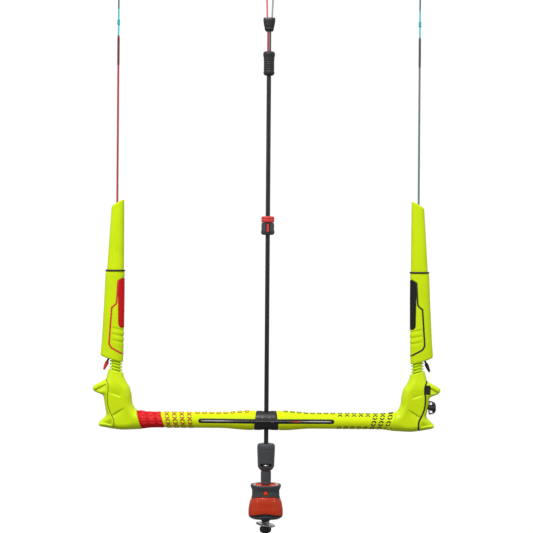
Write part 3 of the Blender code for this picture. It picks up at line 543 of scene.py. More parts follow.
def smooth_path(route, spacing):
    """Evenly spaced points on a Catmull-Rom curve through a route."""
    route = [Vector(p) for p in route]
    ends = [2 * route[0] - route[1]] + route + [2 * route[-1] - route[-2]]
    fine = []
    for a, b, c, d in zip(ends, ends[1:], ends[2:], ends[3:]):
        for k in range(24):
            t = k / 24
            fine.append(0.5 * (2 * b + (c - a) * t + (2 * a - 5 * b + 4 * c - d) * t * t
                               + (3 * b - a - 3 * c + d) * t ** 3))
    fine.append(route[-1])
    lengths = [0.0]
    for a, b in zip(fine, fine[1:]):
        lengths.append(lengths[-1] + (b - a).length)
    count = max(2, round(lengths[-1] / spacing))
    points, j = [], 0
    for k in range(count + 1):
        goal = lengths[-1] * k / count
        while j < len(lengths) - 2 and lengths[j + 1] < goal:
            j += 1
        share = (goal - lengths[j]) / max(lengths[j + 1] - lengths[j], 1e-9)
        points.append(fine[j].lerp(fine[j + 1], min(max(share, 0), 1)))
    return points


def tube(name, route, diameter, paint, sides=16, spacing=2.0, radius_at=None):
    """A round tube with a UV map: U is the turn round it, V the metres along it."""
    points = smooth_path(route, spacing)
    rings, along = [], [0.0]
    side = (points[1] - points[0]).orthogonal().normalized()
    for i, p in enumerate(points):
        ahead = points[min(i + 1, len(points) - 1)] - points[max(i - 1, 0)]
        ahead.normalize()
        side = (side - ahead * side.dot(ahead)).normalized()
        other = ahead.cross(side)
        r = diameter / 2 * (radius_at(i / (len(points) - 1)) if radius_at else 1.0)
        rings.append([tuple(p + r * (side * math.cos(a) + other * math.sin(a)))
                      for a in (math.tau * k / sides for k in range(sides))])
        if i:
            along.append(along[-1] + (p - points[i - 1]).length * MM)
    made = piece(name, *loft(rings), paint)
    layer = made.data.uv_layers.new(name="along")
    for face in made.data.polygons:
        for loop in face.loop_indices:
            vertex = made.data.loops[loop].vertex_index
            ring, k = divmod(vertex, sides)
            turn = k / sides
            if face.loop_total == 4 and turn == 0 and any(
                    made.data.loops[n].vertex_index % sides == sides - 1
                    for n in face.loop_indices):
                turn = 1.0
            layer.data[loop].uv = (turn, along[ring])
    return made, [list(spot(*p)) for p in points]


# ---------------------------------------------------------------- distance fields


def field_grid(low, high, step):
    """Sparse coordinate arrays that fill a box."""
    steps = (step,) * 3 if np.isscalar(step) else step
    axes = [np.arange(a, b + s, s) for a, b, s in zip(low, high, steps)]
    return np.meshgrid(*axes, indexing="ij", sparse=True)


def field_surface(grid, values):
    """Points and quads of the surface where values is 0; it is negative inside."""
    axes = [g.ravel() for g in grid]
    origin = np.array([a[0] for a in axes])
    step = np.array([a[1] - a[0] for a in axes])
    inside = values < 0
    cells = tuple(n - 1 for n in values.shape)
    total, count = np.zeros(cells + (3,)), np.zeros(cells)
    crossings = []
    for axis in range(3):
        start = [slice(None)] * 3
        end = [slice(None)] * 3
        start[axis], end[axis] = slice(0, -1), slice(1, None)
        a, b = values[tuple(start)], values[tuple(end)]
        cross = inside[tuple(start)] != inside[tuple(end)]
        at = np.argwhere(cross)
        share = a[cross] / (a[cross] - b[cross])
        place = at.astype(float)
        place[:, axis] += share
        others = [k for k in range(3) if k != axis]
        for p in (0, 1):
            for q in (0, 1):
                cell = at.copy()
                cell[:, others[0]] -= p
                cell[:, others[1]] -= q
                good = np.all((cell >= 0) & (cell < np.array(cells)), axis=1)
                where = tuple(cell[good].T)
                np.add.at(total, where, place[good])
                np.add.at(count, where, 1)
        crossings.append((axis, others, at, inside[tuple(start)][cross]))
    used = count > 0
    ids = np.full(cells, -1)
    ids[used] = np.arange(used.sum())
    points = origin + step * total[used] / count[used][:, None]
    quads = []
    for axis, others, at, starts_inside in crossings:
        good = np.all((at[:, others] > 0) & (at[:, others] < np.array(cells)[others]), axis=1)
        at, starts_inside = at[good], starts_inside[good]
        corners = []
        for p, q in ((1, 1), (0, 1), (0, 0), (1, 0)):
            cell = at.copy()
            cell[:, others[0]] -= p
            cell[:, others[1]] -= q
            corners.append(ids[tuple(cell.T)])
        faces = np.stack(corners, 1)
        flip = starts_inside if axis == 1 else ~starts_inside
        faces[flip] = faces[flip][:, ::-1]
        quads.append(faces)
    return points, np.concatenate(quads)


def relaxed(points, quads, rounds=2, share=0.5):
    """Evens a surface out by moving each point towards the middle of its neighbours."""
    edges = np.concatenate([quads[:, [i, (i + 1) % 4]] for i in range(4)])
    edges = np.concatenate([edges, edges[:, ::-1]])
    number = np.bincount(edges[:, 0], minlength=len(points))[:, None]
    for i in range(rounds * 2):
        total = np.zeros_like(points)
        np.add.at(total, edges[:, 0], points[edges[:, 1]])
        push = share if i % 2 == 0 else -share * 1.04
        points = points + push * (total / number - points)
    return points


def field_piece(name, grid, values, paint, mirror=1, angle=50.0, rounds=2):
    """A piece from a field; mirror -1 builds it on the other side of X = 0."""
    points, quads = field_surface(grid, values)
    points = relaxed(points, quads, rounds)
    if mirror < 0:
        points = points * np.array([-1, 1, 1])
        quads = quads[:, ::-1]
    return piece(name, points, quads, paint, angle)


def within(outline, x, z):
    """The distance to a closed outline in the X-Z plane, negative inside it."""
    best = np.full(np.broadcast(x, z).shape, 1e9)
    odd = np.zeros(best.shape, bool)
    for (ax, az), (bx, bz) in zip(outline, outline[1:] + outline[:1]):
        ex, ez = bx - ax, bz - az
        wx, wz = x - ax, z - az
        t = np.clip((wx * ex + wz * ez) / max(ex * ex + ez * ez, 1e-12), 0, 1)
        best = np.minimum(best, (wx - ex * t) ** 2 + (wz - ez * t) ** 2)
        spans = (az > z) != (bz > z)
        rise = np.where(ez == 0, 1e-12, ez)
        odd ^= spans & (x < ex * wz / rise + ax)
    return np.where(odd, -1, 1) * np.sqrt(best)


def rounded_outline(outline, times=2):
    """An outline with its corners cut, over and over."""
    for _ in range(times):
        cut = []
        for a, b in zip(outline, outline[1:] + outline[:1]):
            cut.append((a[0] * 0.85 + b[0] * 0.15, a[1] * 0.85 + b[1] * 0.15))
            cut.append((a[0] * 0.15 + b[0] * 0.85, a[1] * 0.15 + b[1] * 0.85))
        outline = cut
    return outline


def both(a, b, rounding=0.6):
    """Where two fields overlap, with a rounded edge."""
    near = np.maximum(rounding - np.abs(a - b), 0)
    return np.maximum(a, b) + near * near / (4 * rounding)


def step_up(value, low, high):
    t = np.clip((value - low) / (high - low), 0, 1)
    return t * t * (3 - 2 * t)


def blurred(values, times):
    for _ in range(times):
        wide = np.pad(values, ((1, 1), (0, 0), (1, 1)), mode="edge")
        values = (wide[:-2] + 2 * wide[1:-1] + wide[2:]) / 4
        values = (values[:, :, :-2] + 2 * values[:, :, 1:-1] + values[:, :, 2:]) / 4
    return values


# ---------------------------------------------------------------- lines


def knot(name, x, z, diameter, paint, node, lift=8.0):
    """A barrel knot of three turns round its line."""
    r = diameter / 2
    route = [(x + r * 1.0 * math.cos(a), r * 1.0 * math.sin(a), z + lift * (a / (6 * math.pi) - 0.5))
             for a in (math.tau * k / 12 for k in range(37))]
    made, _ = tube(name, route, diameter * 0.92, paint, 12, 0.7)
    return extra(made, node)


def straight_line(name, node, low, high, diameter, paint):
    made, path = tube(name, [low, [(a + b) / 2 for a, b in zip(low, high)], high], diameter, paint)
    stands_for(made, node)
    return made


def steering_lines(side, leader_paint, sleeve_paint):
    sign = -1 if side == "left" else 1
    x = sign * LINE_X
    sleeve, _ = tube(f"{side}_sleeve", [(x, 0, SLEEVE_Z[0]), (x, 0, 610), (x, 0, SLEEVE_Z[1])],
                     SLEEVE_D, sleeve_paint,
                     radius_at=lambda t: 0.8 + 0.2 * min(1, t * 14, (1 - t) * 14))
    stands_for(sleeve, f"{side}_leader_sleeve")
    straight_line(f"{side}_leader", f"{side}_leader_line", (x, 0, LEADER_Z[0]),
                  (x, 0, LEADER_Z[1]), LEADER_D, leader_paint)
    node = f"{side}_flying_line"
    joining = knot(f"{side}_joining_knot", x, JOINING_KNOT_Z, FLYING_D, "teal_line", node)
    end = knot(f"{side}_end_knot", x, LINE_TOP - 4.2, FLYING_D, "dark_teal_line", node, 6.0)
    low_z = SLEEVE_Z[1] + GAP
    line = straight_line(f"{side}_steering_line", node, (x, 0, low_z), (x, 0, LINE_TOP),
                         FLYING_D, "teal_line")
    line.data.materials.append(studio_mats["dark_teal_line"])
    change_z = (spot(0, 0, 678)).z
    for face in line.data.polygons:
        face.material_index = int(face.center.z > change_z)


def front_lines():
    low = SPLITTER_Z[1] + GAP
    for name, paint, start, end in (("red", "pink_line", -3.3, -5.4),
                                    ("grey", "light_grey_line", 4.6, 7.6)):
        node = f"front_line_{name}"
        top = knot(f"{node}_knot", end, LINE_TOP - 4.2, FRONT_D, paint, node, 6.0)
        straight_line(f"{node}_cord", node, (start, 0, low), (end, 0, LINE_TOP), FRONT_D, paint)
    for node, x, paint in (("power_line", -1.75, "red_line"),
                           ("safety_line", 1.75, "dark_grey_line")):
        low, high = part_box(node)
        ends = [((v - BAR) / MM).z for v in (low, high)]
        straight_line(f"{node}_cord", node, (x, 0, ends[0]), (x, 0, ends[1]), BRAID_D - 0.1,
                      paint)


# ---------------------------------------------------------------- floats


# height, inner edge, outer edge, half depth
FLOAT_SECTIONS = np.array((
    (80.0, 237.3, 273.9, 13.2), (109.0, 236.9, 273.9, 13.5), (131.0, 236.3, 272.1, 13.5),
    (200.0, 235.8, 268.5, 13.0), (240.5, 235.8, 266.9, 12.8), (243.5, 235.9, 266.4, 12.6),
    (246.5, 236.9, 264.4, 12.0), (300.0, 236.9, 261.0, 11.0), (340.0, 237.1, 258.4, 9.8),
    (375.0, 237.4, 256.6, 8.8),
))
FLOAT_POWER = 2.6
INLAY = ((222, 233.6), (237.5, 233.4), (244.7, 228.8), (243.6, 156.0), (241.0, 152.2),
         (222, 150.0))
STRIPE = ((244.4, 229.5), (245.3, 222.8), (247.0, 191.4), (254.8, 184.8), (258.8, 126.0),
          (256.0, 119.4), (236.6, 108.2))


def float_section(z):
    return [np.interp(z, FLOAT_SECTIONS[:, 0], FLOAT_SECTIONS[:, k]) for k in (1, 2, 3)]


def float_depth(x, z):
    """Half the float's depth at a point of its front."""
    inner, outer, half_depth = float_section(z)
    middle, half = (inner + outer) / 2, (outer - inner) / 2
    across = np.clip(np.abs(x - middle) / half, 0, 1)
    return half_depth * (1 - across ** FLOAT_POWER) ** (1 / FLOAT_POWER)


def float_field(grid):
    x, y, z = grid
    inner, outer, half_depth = float_section(z)
    middle, half = (inner + outer) / 2, (outer - inner) / 2
    across = np.abs(x - middle) / half
    body = ((across ** FLOAT_POWER + (np.abs(y) / half_depth) ** FLOAT_POWER)
            ** (1 / FLOAT_POWER) - 1) * half_depth
    top = (z - 358 + 0.588 * (x - 247)) / math.hypot(1, 0.588)
    low = (99.3 + 0.315 * (x - 255) - z) / math.hypot(1, 0.315)
    body = both(body, top, 2.2)
    body = both(body, low, 2.6)
    # three soft ribs for the hand, inside the stripe
    for level in (147.0, 137.0, 127.0):
        off = z - level - 0.23 * (x - 235)
        fade = step_up(256 - x, 0, 5)
        body = body + 0.9 * np.exp(-(off / 1.5) ** 2) * fade - 0.35 * np.exp(
            -((off - 3.2) / 2.2) ** 2) * fade
    ring = np.abs(z - O_RING_Z)
    return body + 0.5 * np.exp(-(ring / 1.2) ** 2)


def stripe_mesh(route, half_width, depth_at, proud=0.32, sides=(-1, 1)):
    """A thin raised stripe that follows a front and back surface."""
    points, faces = [], []
    path = smooth_path([(x, 0, z) for x, z in eased(route, 3.0)], 0.9)
    for facing in sides:
        first = len(points)
        for i, p in enumerate(path):
            ahead = path[min(i + 1, len(path) - 1)] - path[max(i - 1, 0)]
            side = Vector((ahead.z, 0, -ahead.x)).normalized()
            for offset, height in ((-1.0, -0.5), (-0.85, 0.8), (0.0, 1.0), (0.85, 0.8),
                                   (1.0, -0.5)):
                q = p + side * offset * half_width
                y = facing * (float(depth_at(q.x, q.z)) + proud * height)
                points.append((q.x, y, q.z))
        for i in range(len(path) - 1):
            for k in range(4):
                a = first + i * 5 + k
                faces.append((a, a + 1, a + 6, a + 5))
        last = first + (len(path) - 1) * 5
        faces.append(range(first, first + 5))
        faces.append(range(last, last + 5))
        # the underside closes the strip
        for i in range(len(path) - 1):
            a = first + i * 5
            faces.append((a, a + 5, a + 9, a + 4))
    return points, faces


def floats(side, inlay_paint, stripe_paint):
    sign = -1 if side == "left" else 1
    grid = field_grid((231, -15.5, 91), (277.5, 15.5, 368), (1.15, 1.15, 1.45))
    body = float_field(grid)
    x, y, z = grid
    bore = GAP + LEADER_D / 2 - np.hypot(x - LINE_X, y)
    bored = both(body, np.where(z > LEADER_Z[0], bore, -9), 0.6)
    inlay = within(list(INLAY), x, z)
    foam_body = both(bored, GAP - inlay, 0.5)
    made = field_piece(f"{side}_foam_float", grid, foam_body, "neon_foam", sign)
    stands_for(made, f"{side}_float")

    grid = field_grid((231, -15, 148), (249, 15, 240), 0.8)
    x, y, z = grid
    inlay = within(list(INLAY), x, z)
    solid = both(float_field(grid) - 0.25, inlay, 1.0)
    dots = 0.25 * np.exp(-((np.mod(z, 6.0) - 3) ** 2 + (np.mod(y + 3, 6.0) - 3) ** 2) / 1.2)
    made = field_piece(f"{side}_inlay", grid, solid + dots * step_up(239 - x, 0, 2), inlay_paint,
                       sign)
    stands_for(made, f"{side}_float_insert")

    points, faces = stripe_mesh(STRIPE, 1.5, float_depth)
    points = [(sign * x, y, z) for x, y, z in points]
    extra(face_out(piece(f"{side}_stripe", points, faces, stripe_paint)), f"{side}_float")

    inner, outer, half_depth = [float(v) for v in float_section(O_RING_Z)]
    middle, half, grow = (inner + outer) / 2, (outer - inner) / 2, 0.7
    rings = []
    for k in range(72):
        a = math.tau * k / 72
        c, s = math.cos(a), math.sin(a)
        power = 2 / FLOAT_POWER
        p = Vector((sign * (middle + (half + grow) * squared(c, power)),
                    (half_depth + grow) * squared(s, power), O_RING_Z))
        out = Vector((p.x - sign * middle, p.y * 1.3, 0)).normalized()
        rings.append([tuple(p + 1.5 * (out * math.cos(b) + Vector((0, 0, math.sin(b)))))
                      for b in (math.tau * n / 10 for n in range(10))])
    made = face_out(piece(f"{side}_band_ring", *loft(rings, closed=True), "black_rubber"))
    stands_for(made, f"{side}_float_o_ring")


def necks(side):
    """The ribbed neck at the hinge between the housing and the float."""
    sign = -1 if side == "left" else 1
    low, high = 79.5, 99.0
    profile = [(0, low), (7.2, low)]
    for z in (83.9, 88.9, 93.9):
        profile += [(7.2, z - 1.6), (10.2, z - 0.9), (10.6, z), (10.2, z + 0.9), (7.2, z + 1.6)]
    profile += [(7.2, high), (0, high)]
    outline = softened(profile, 0.5)
    rings = []
    for k in range(48):
        a = math.tau * k / 48
        rings.append([(sign * (HINGE_X + r * math.cos(a)), r * math.sin(a),
                       z + NECK_SLANT * r * math.cos(a)) for r, z in outline])
    made = face_out(piece(f"{side}_neck", *loft(rings, closed=True), "neon_neck"))
    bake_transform(made)
    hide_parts(f"{side}_float_neck")


def retainers(side, tab_paint):
    sign = -1 if side == "left" else 1
    node = f"{side}_line_retainer"
    lean = math.atan2(8.0, 18.9)
    turn = Matrix.Translation((sign * 260.9, 0, 100.3)) @ Matrix.Rotation(-sign * lean, 4, "Y")
    route = [turn @ Vector((0, 0, z)) for z in (0.6, -2.0, -5.6)]
    cord_piece, _ = tube(f"{side}_retainer_cord", route, 3.4, "black_rubber", 12, 0.8)
    extra(cord_piece, node)
    tab = [(0, -20.2), (1.4, -20.0), (2.0, -18), (2.8, -13.5), (3.3, -9), (3.2, -6.6),
           (2.7, -5.2), (2.0, -4.4), (0, -4.4)]
    made = turned(f"{side}_retainer_tab", tab, tab_paint, 32, turn=turn, rounding=0.5,
                  ripple=lambda a, r, z: -0.25 * (0.5 + 0.5 * math.cos(z * 2.6)) * (r > 2.2))
    stands_for(made, node)


# ---------------------------------------------------------------- grips


def bar_radius(x):
    """The bar's radius along it: thick in the middle, slim grips, flared ends."""
    x = abs(x)
    if x < 78:
        t = min(max((x - 26) / 50, 0), 1)
        return HUB_R + (GRIP_R - HUB_R) * t * t * (3 - 2 * t)
    t = min(max((x - 184) / 28, 0), 1)
    return GRIP_R + 2.9 * t * t


def grip(name, start, end, start_slant, end_slant, paint, hollow=None):
    """A foam shell round the bar's core between two slanted ends, with rounded lips."""
    count = max(8, round(abs(end - start) / 3.0))
    sides = 72
    outer, inner = [], []
    for i in range(count + 1):
        share = i / count
        lip = min(i, count - i)
        sink = {0: 0.5, 1: 0.0}.get(lip, 0.0)
        x = start + (end - start) * share
        slant = start_slant + (end_slant - start_slant) * share
        radius = bar_radius(x) - sink
        for ring, r in ((outer, radius), (inner, CORE_R)):
            ring.append([(x + slant * r * math.sin(a), r * math.cos(a), r * math.sin(a))
                         for a in (math.tau * k / sides for k in range(sides))])
    made = face_out(piece(name, *loft(outer + inner[::-1], closed=True), paint))
    cutters = [hollow] if hollow else []
    for cutter in cutters:
        cut(made, cutter)
    return made


def cut(made, cutter, operation="DIFFERENCE"):
    """Cuts one piece with another, exactly, and keeps the result as its mesh."""
    modifier = made.modifiers.new("cut", "BOOLEAN")
    modifier.operation = operation
    modifier.solver = "EXACT"
    modifier.object = cutter
    graph = bpy.context.evaluated_depsgraph_get()
    mesh = bpy.data.meshes.new_from_object(made.evaluated_get(graph))
    made.modifiers.clear()
    made.data = mesh
    mesh.set_sharp_from_angle(angle=math.radians(35))


def window_bar(name, half, half_height, back, grow, paint="black_plastic", corner_steps=8):
    """A long bar with round ends along the front of the bar, from back to its surface."""
    stations = [-half + half_height * (1 - math.cos(math.pi / 2 * k / corner_steps))
                for k in range(corner_steps + 1)]
    inner = np.linspace(stations[-1], 0, 40)[1:].tolist()
    stations = stations + inner
    stations = stations + [-x for x in stations[-2::-1]]
    rings = []
    for x in stations:
        into = min(half - abs(x), half_height)
        high = max(math.sqrt(max(half_height ** 2 - (half_height - into) ** 2, 0)), 0.25)
        front = -(bar_radius(x) + grow)
        ring = [(x, back, -high)]
        for k in range(7):
            z = high * (k / 3 - 1)
            drop = 0.25 if k in (0, 6) else 0.0
            bulge = math.sqrt(front * front - z * z) - abs(front)
            ring.append((x, front - bulge + drop, z))
        ring.append((x, back, high))
        rings.append(ring)
    return face_out(piece(name, *loft(rings), paint))


def hub_hole(name, grow=0.0):
    rings = []
    for z, half_x in ((-20, 12.4), (-6, 8.2), (6, 8.2), (20, 12.4)):
        rings.append([((half_x + grow) * math.cos(a), (7.0 + grow) * math.sin(a), z)
                      for a in (math.tau * k / 40 for k in range(40))])
    return face_out(piece(name, *loft(rings), "black_plastic"))


RING_R = 3.35
ARC_HALF = math.radians(76)
UPPER, LOWER = 1, 3  # the arcs of a ring, in quarter turns
ALL = (UPPER, LOWER)


def ring_arcs(name, columns, paint, shift, row_count, node):
    """Raised broken rings on a grip: each column is (x, {row: which arcs}, slant)."""
    points, faces = [], []
    half_width, proud, steps = 1.05, 0.34, 12
    for x0, rows, slant in columns:
        for row, arcs in rows.items():
            turn0 = shift + row * math.tau / row_count
            for arc in arcs:
                first = len(points)
                for k in range(steps + 1):
                    b = math.pi / 2 * arc + ARC_HALF * (2 * k / steps - 1)
                    taper = 1.0 if 0 < k < steps else 0.55
                    for out, height in ((-1, -0.4), (-0.85, 0.9), (0.85, 0.9), (1, -0.4)):
                        r = RING_R + out * half_width * taper
                        along, around = r * math.cos(b), r * math.sin(b)
                        radius = bar_radius(x0 + along)
                        a = turn0 + around / radius
                        z = radius * math.sin(a)
                        x = x0 + along + slant * z
                        lift = bar_radius(x) + proud * height
                        points.append((x, -lift * math.cos(a), lift * math.sin(a)))
                for k in range(steps):
                    p = first + k * 4
                    for n in range(3):
                        faces.append((p + n, p + n + 1, p + n + 5, p + n + 4))
                    faces.append((p + 3, p, p + 4, p + 7))
                faces.append((first, first + 1, first + 2, first + 3))
                last = first + steps * 4
                faces.append((last + 3, last + 2, last + 1, last))
    return extra(face_out(piece(name, points, faces, paint)), node)


def grips():
    hole = hub_hole("hub_cutter", 0.3)
    pocket = window_bar("window_cutter", WINDOW_HALF + GAP, WINDOW_HALF_HEIGHT + GAP, -8, 3)
    edge = INSERT_HALF + GAP
    insert = grip("hub_insert", -INSERT_HALF, INSERT_HALF, -INSERT_SLANT, INSERT_SLANT,
                  "black_plastic", hole)
    cut(insert, pocket)
    stands_for(insert, "centre_insert")
    left = grip("left_foam_grip", -BAND_X[0] + GAP / 2, -edge, -BAND_SLANT,
                -INSERT_SLANT, "grip_foam", pocket)
    stands_for(left, "left_grip")
    right = grip("right_foam_grip", edge, BAND_X[1], INSERT_SLANT, END_SLANT, "grip_foam",
                 pocket)
    stands_for(right, "right_grip")
    band = grip("left_red_band", -BAND_X[1], -BAND_X[0] - GAP / 2, -END_SLANT, -BAND_SLANT,
                "red_foam")
    stands_for(band, "left_band")

    frame_piece = window_bar("window_surround", WINDOW_HALF, WINDOW_HALF_HEIGHT, -CORE_R, 0.4)
    slot = window_bar("slot_cutter", SLOT_HALF, SLOT_HALF_HEIGHT, -6, 4)
    cut(frame_piece, slot)
    stands_for(frame_piece, "window_frame")
    for cutter in (hole, pocket, slot):
        bpy.data.objects.remove(cutter)

    # the small bright rivets over the window
    for k, x in enumerate((-6.1, 5.2)):
        z = 6.4
        y = -math.sqrt(bar_radius(x) ** 2 - z * z)
        turn = Matrix.Translation((x, y + 0.3, z)) @ Matrix.Rotation(math.radians(66), 4, "X")
        rivet = turned(f"hub_rivet_{k}", [(0, -0.6), (0.95, -0.6), (0.95, 0.2), (0.6, 0.5),
                                          (0, 0.6)], "steel", 20, turn=turn, rounding=0.2)
        extra(rivet, "centre_insert")

    # rows are counted upwards round the grip from the one just below the middle of its front
    back = {row: ALL for row in (3, 4, 5, 6)}
    whole = {row: ALL for row in (0, 1, 2, 7, 8)}
    columns = [(-161.7 + 12.1 * k, {**whole, **back}, -0.2 * (1 - k / 9)) for k in range(4)]
    columns += [(-113.3 + 11.6 * k, {2: ALL, **back}, 0.0) for k in range(8)]
    ring_arcs("left_grip_rings", columns, "pattern_red", math.radians(-6.5), 9, "left_grip")

    back = {row: ALL for row in (3, 4, 5)}
    whole = {row: ALL for row in (0, 1, 2, 6, 7)}
    columns = [(200.6 - 12.0 * k, {**whole, **back}, END_SLANT * (1 - k / 12)) for k in range(3)]
    columns += [(165.0 - 11.1 * k, {1: (UPPER,), 2: ALL, 7: (UPPER,), 6: ALL, **back},
                 0.2 - 0.03 * k) for k in range(5)]
    columns += [(109.5 - 11.1 * k, {2: ALL, **back}, 0.0) for k in range(8)]
    ring_arcs("right_grip_rings", columns, "pattern_black", math.radians(-9.5), 8, "right_grip")

    # paler embossed rings on the red band
    columns = [(-201.1 + 13.3 * k, {row: ALL for row in (0, 1, 2, 3, 4, 5, 6)}, -0.25)
               for k in range(3)]
    ring_arcs("left_band_rings", columns, "band_ring", math.radians(-6.5), 9, "left_band")


def trim_parts():
    seen_y = -11.2  # in the slot it lies nearer the front than in the bar's tube
    route = [(-115.5, -8, 0), (-112, -8.4, 0), (-107, -10.0, 0), (-101, seen_y, 0),
             (-40, seen_y, 0), (40, seen_y, 0), (100, seen_y, 0), (106, -10.0, 0),
             (111, -8.4, 0), (116, -8, 0), (170, -8, 0), (222, -8, 0), (229, -8, 0),
             (233.2, -8, 0.7), (235.5, -8, 3.2), (236, -8, 8), (236, -8, 15), (236, -8, 22.9)]
    # the braid's grey is lighter than the line's own: painted light against the shade in the slot
    line, _ = tube("trim_line_braid", route, 2.4, "trim_grey", 14, 1.5)
    stands_for(line, "trim_line")
    low, high = box_of("trim_marker")
    grid = field_grid(low - Vector((2, 2, 2)), high + Vector((2, 2, 2)), 0.3)
    x, y, z = grid
    mid, half = (low + high) / 2, (high - low) / 2
    block = both(both(np.abs(x - mid.x) - half.x, np.abs(y - mid.y) - half.y, 0.8),
                 np.abs(z - mid.z) - half.z, 0.8)
    waist = 0.3 * np.exp(-((np.mod(x - mid.x + 1.5, 3.0) - 1.5) / 0.5) ** 2)
    waist = waist * step_up(low.y + 1.5 - y, 0, 1)
    block = both(block + waist * (np.abs(x - mid.x) < 6), y + 12.75, 0.2)
    made = field_piece("marker_bead", grid, block, "marker_red")
    stands_for(made, "trim_marker")


# ---------------------------------------------------------------- bar ends


SEAM = ((265.4, 69.0), (263.4, 65.6), (260.2, 58.4), (259.6, 48.4), (261.0, 39.5),
        (260.6, 30.0), (259.4, 22.4), (256.0, 12.4), (250.8, 2.4), (249.8, -3.0),
        (249.8, -10.0), (250.2, -18.0))
END_OUTLINE = (
    (237.0, -17.2), (186.0, -14.6), (186.0, 14.6), (209.0, 15.4), (216.0, 17.4), (221.2, 27.0),
    (222.6, 42.0), (225.6, 53.5), (231.3, 62.0), (236.1, 72.0), (238.2, 98.0),
    (259.0, 98.0), (260.6, 82.0), (262.6, 76.0), (264.4, 67.8),
    (268.0, 65.0), (286.0, 55.5), (287.0, 50.5), (283.5, 45.4), (269.4, 40.4), (268.0, 34.0),
    (266.0, 20.5), (263.4, 7.5), (276.2, -4.4), (276.6, -9.0), (274.4, -11.4), (252.2, -15.6),
)
CREASES = (((250.6, 8.6), (232.0, 20.6), 2.6), ((241.0, 39.5), (259.1, 45.8), 1.5),
           ((262.5, 8.5), (272.5, -1.5), 0.8))


# where each horn's step starts and ends, and on which side of it the sunk facet lies
HORN_RIDGES = (((262.0, 60.5), (284.0, 48.3), -1), ((252.0, -8.6), (275.0, -4.9), 1))


def end_body(grid):
    """The organic end of the bar with its two horns, and its outline's distance."""
    x, y, z = grid
    edge = -within(rounded_outline(list(END_OUTLINE), 1), x, z)
    edge = blurred(edge, 2)
    toward_horn = step_up(x, 255, 287)
    at_grip = step_up(232 - x, 0, 18) * step_up(34 - z, 0, 14)
    depth = 15.0 - 6.0 * toward_horn - 4.2 * step_up(z, 52, 84)
    depth = depth + 0.4 * at_grip
    radius = 11.0 - 7.0 * step_up(x, 258, 276)
    radius = radius + (15.4 - radius) * at_grip
    # each horn steps down along a ridge, to a facet that comes back out at its far edge
    for (ax, az), (bx, bz), way in HORN_RIDGES:
        length = math.hypot(bx - ax, bz - az)
        off = way * ((z - az) * (bx - ax) - (x - ax) * (bz - az)) / length
        near = (np.abs(z - (az + bz) / 2) < 18) * step_up(x, ax, ax + 3)
        depth = depth - 3.0 * near * step_up(off, 0, 0.8) * np.clip(1 - off / 9, 0, 1)
    # creases that run in from the seam
    for (ax, az), (bx, bz), cut_depth in CREASES:
        length = math.hypot(bx - ax, bz - az)
        ux, uz = (bx - ax) / length, (bz - az) / length
        along = (x - ax) * ux + (z - az) * uz
        across = -(x - ax) * uz + (z - az) * ux
        fade = step_up(along, -4, 1) * step_up(length + 3 - along, 0, length * 0.7)
        shelf = np.exp(-np.clip(across, 0, None) / 5.0) * (across > 0) + np.exp(
            -(across / 0.9) ** 2) * (across <= 0)
        depth = depth - cut_depth * fade * shelf
    depth = blurred(depth + 0 * edge, 1)  # the sum gives it the grid's full shape
    inward = np.clip(1 - edge / radius, 0, None)
    scale = np.minimum(depth, radius)
    return (np.sqrt((y / depth) ** 2 + inward ** 2) - 1) * scale, edge


def button_box():
    """The release button's look, which reaches further in than its CAD box, to the seam."""
    low, high = box_of("trim_release_button")
    return Vector((low.x - 3.4, low.y, low.z + 0.4)), Vector((high.x - 1.4, high.y, high.z + 1.6))


def button_pocket(grid, gap=0.35):
    """The field of the pocket that the release button moves in."""
    x, y, z = grid
    low, high = button_box()
    return np.maximum(np.maximum(low.x - gap - x, x - high.x - gap),
                      np.maximum(np.maximum(low.z - gap - z, z - high.z - gap), y - 6))


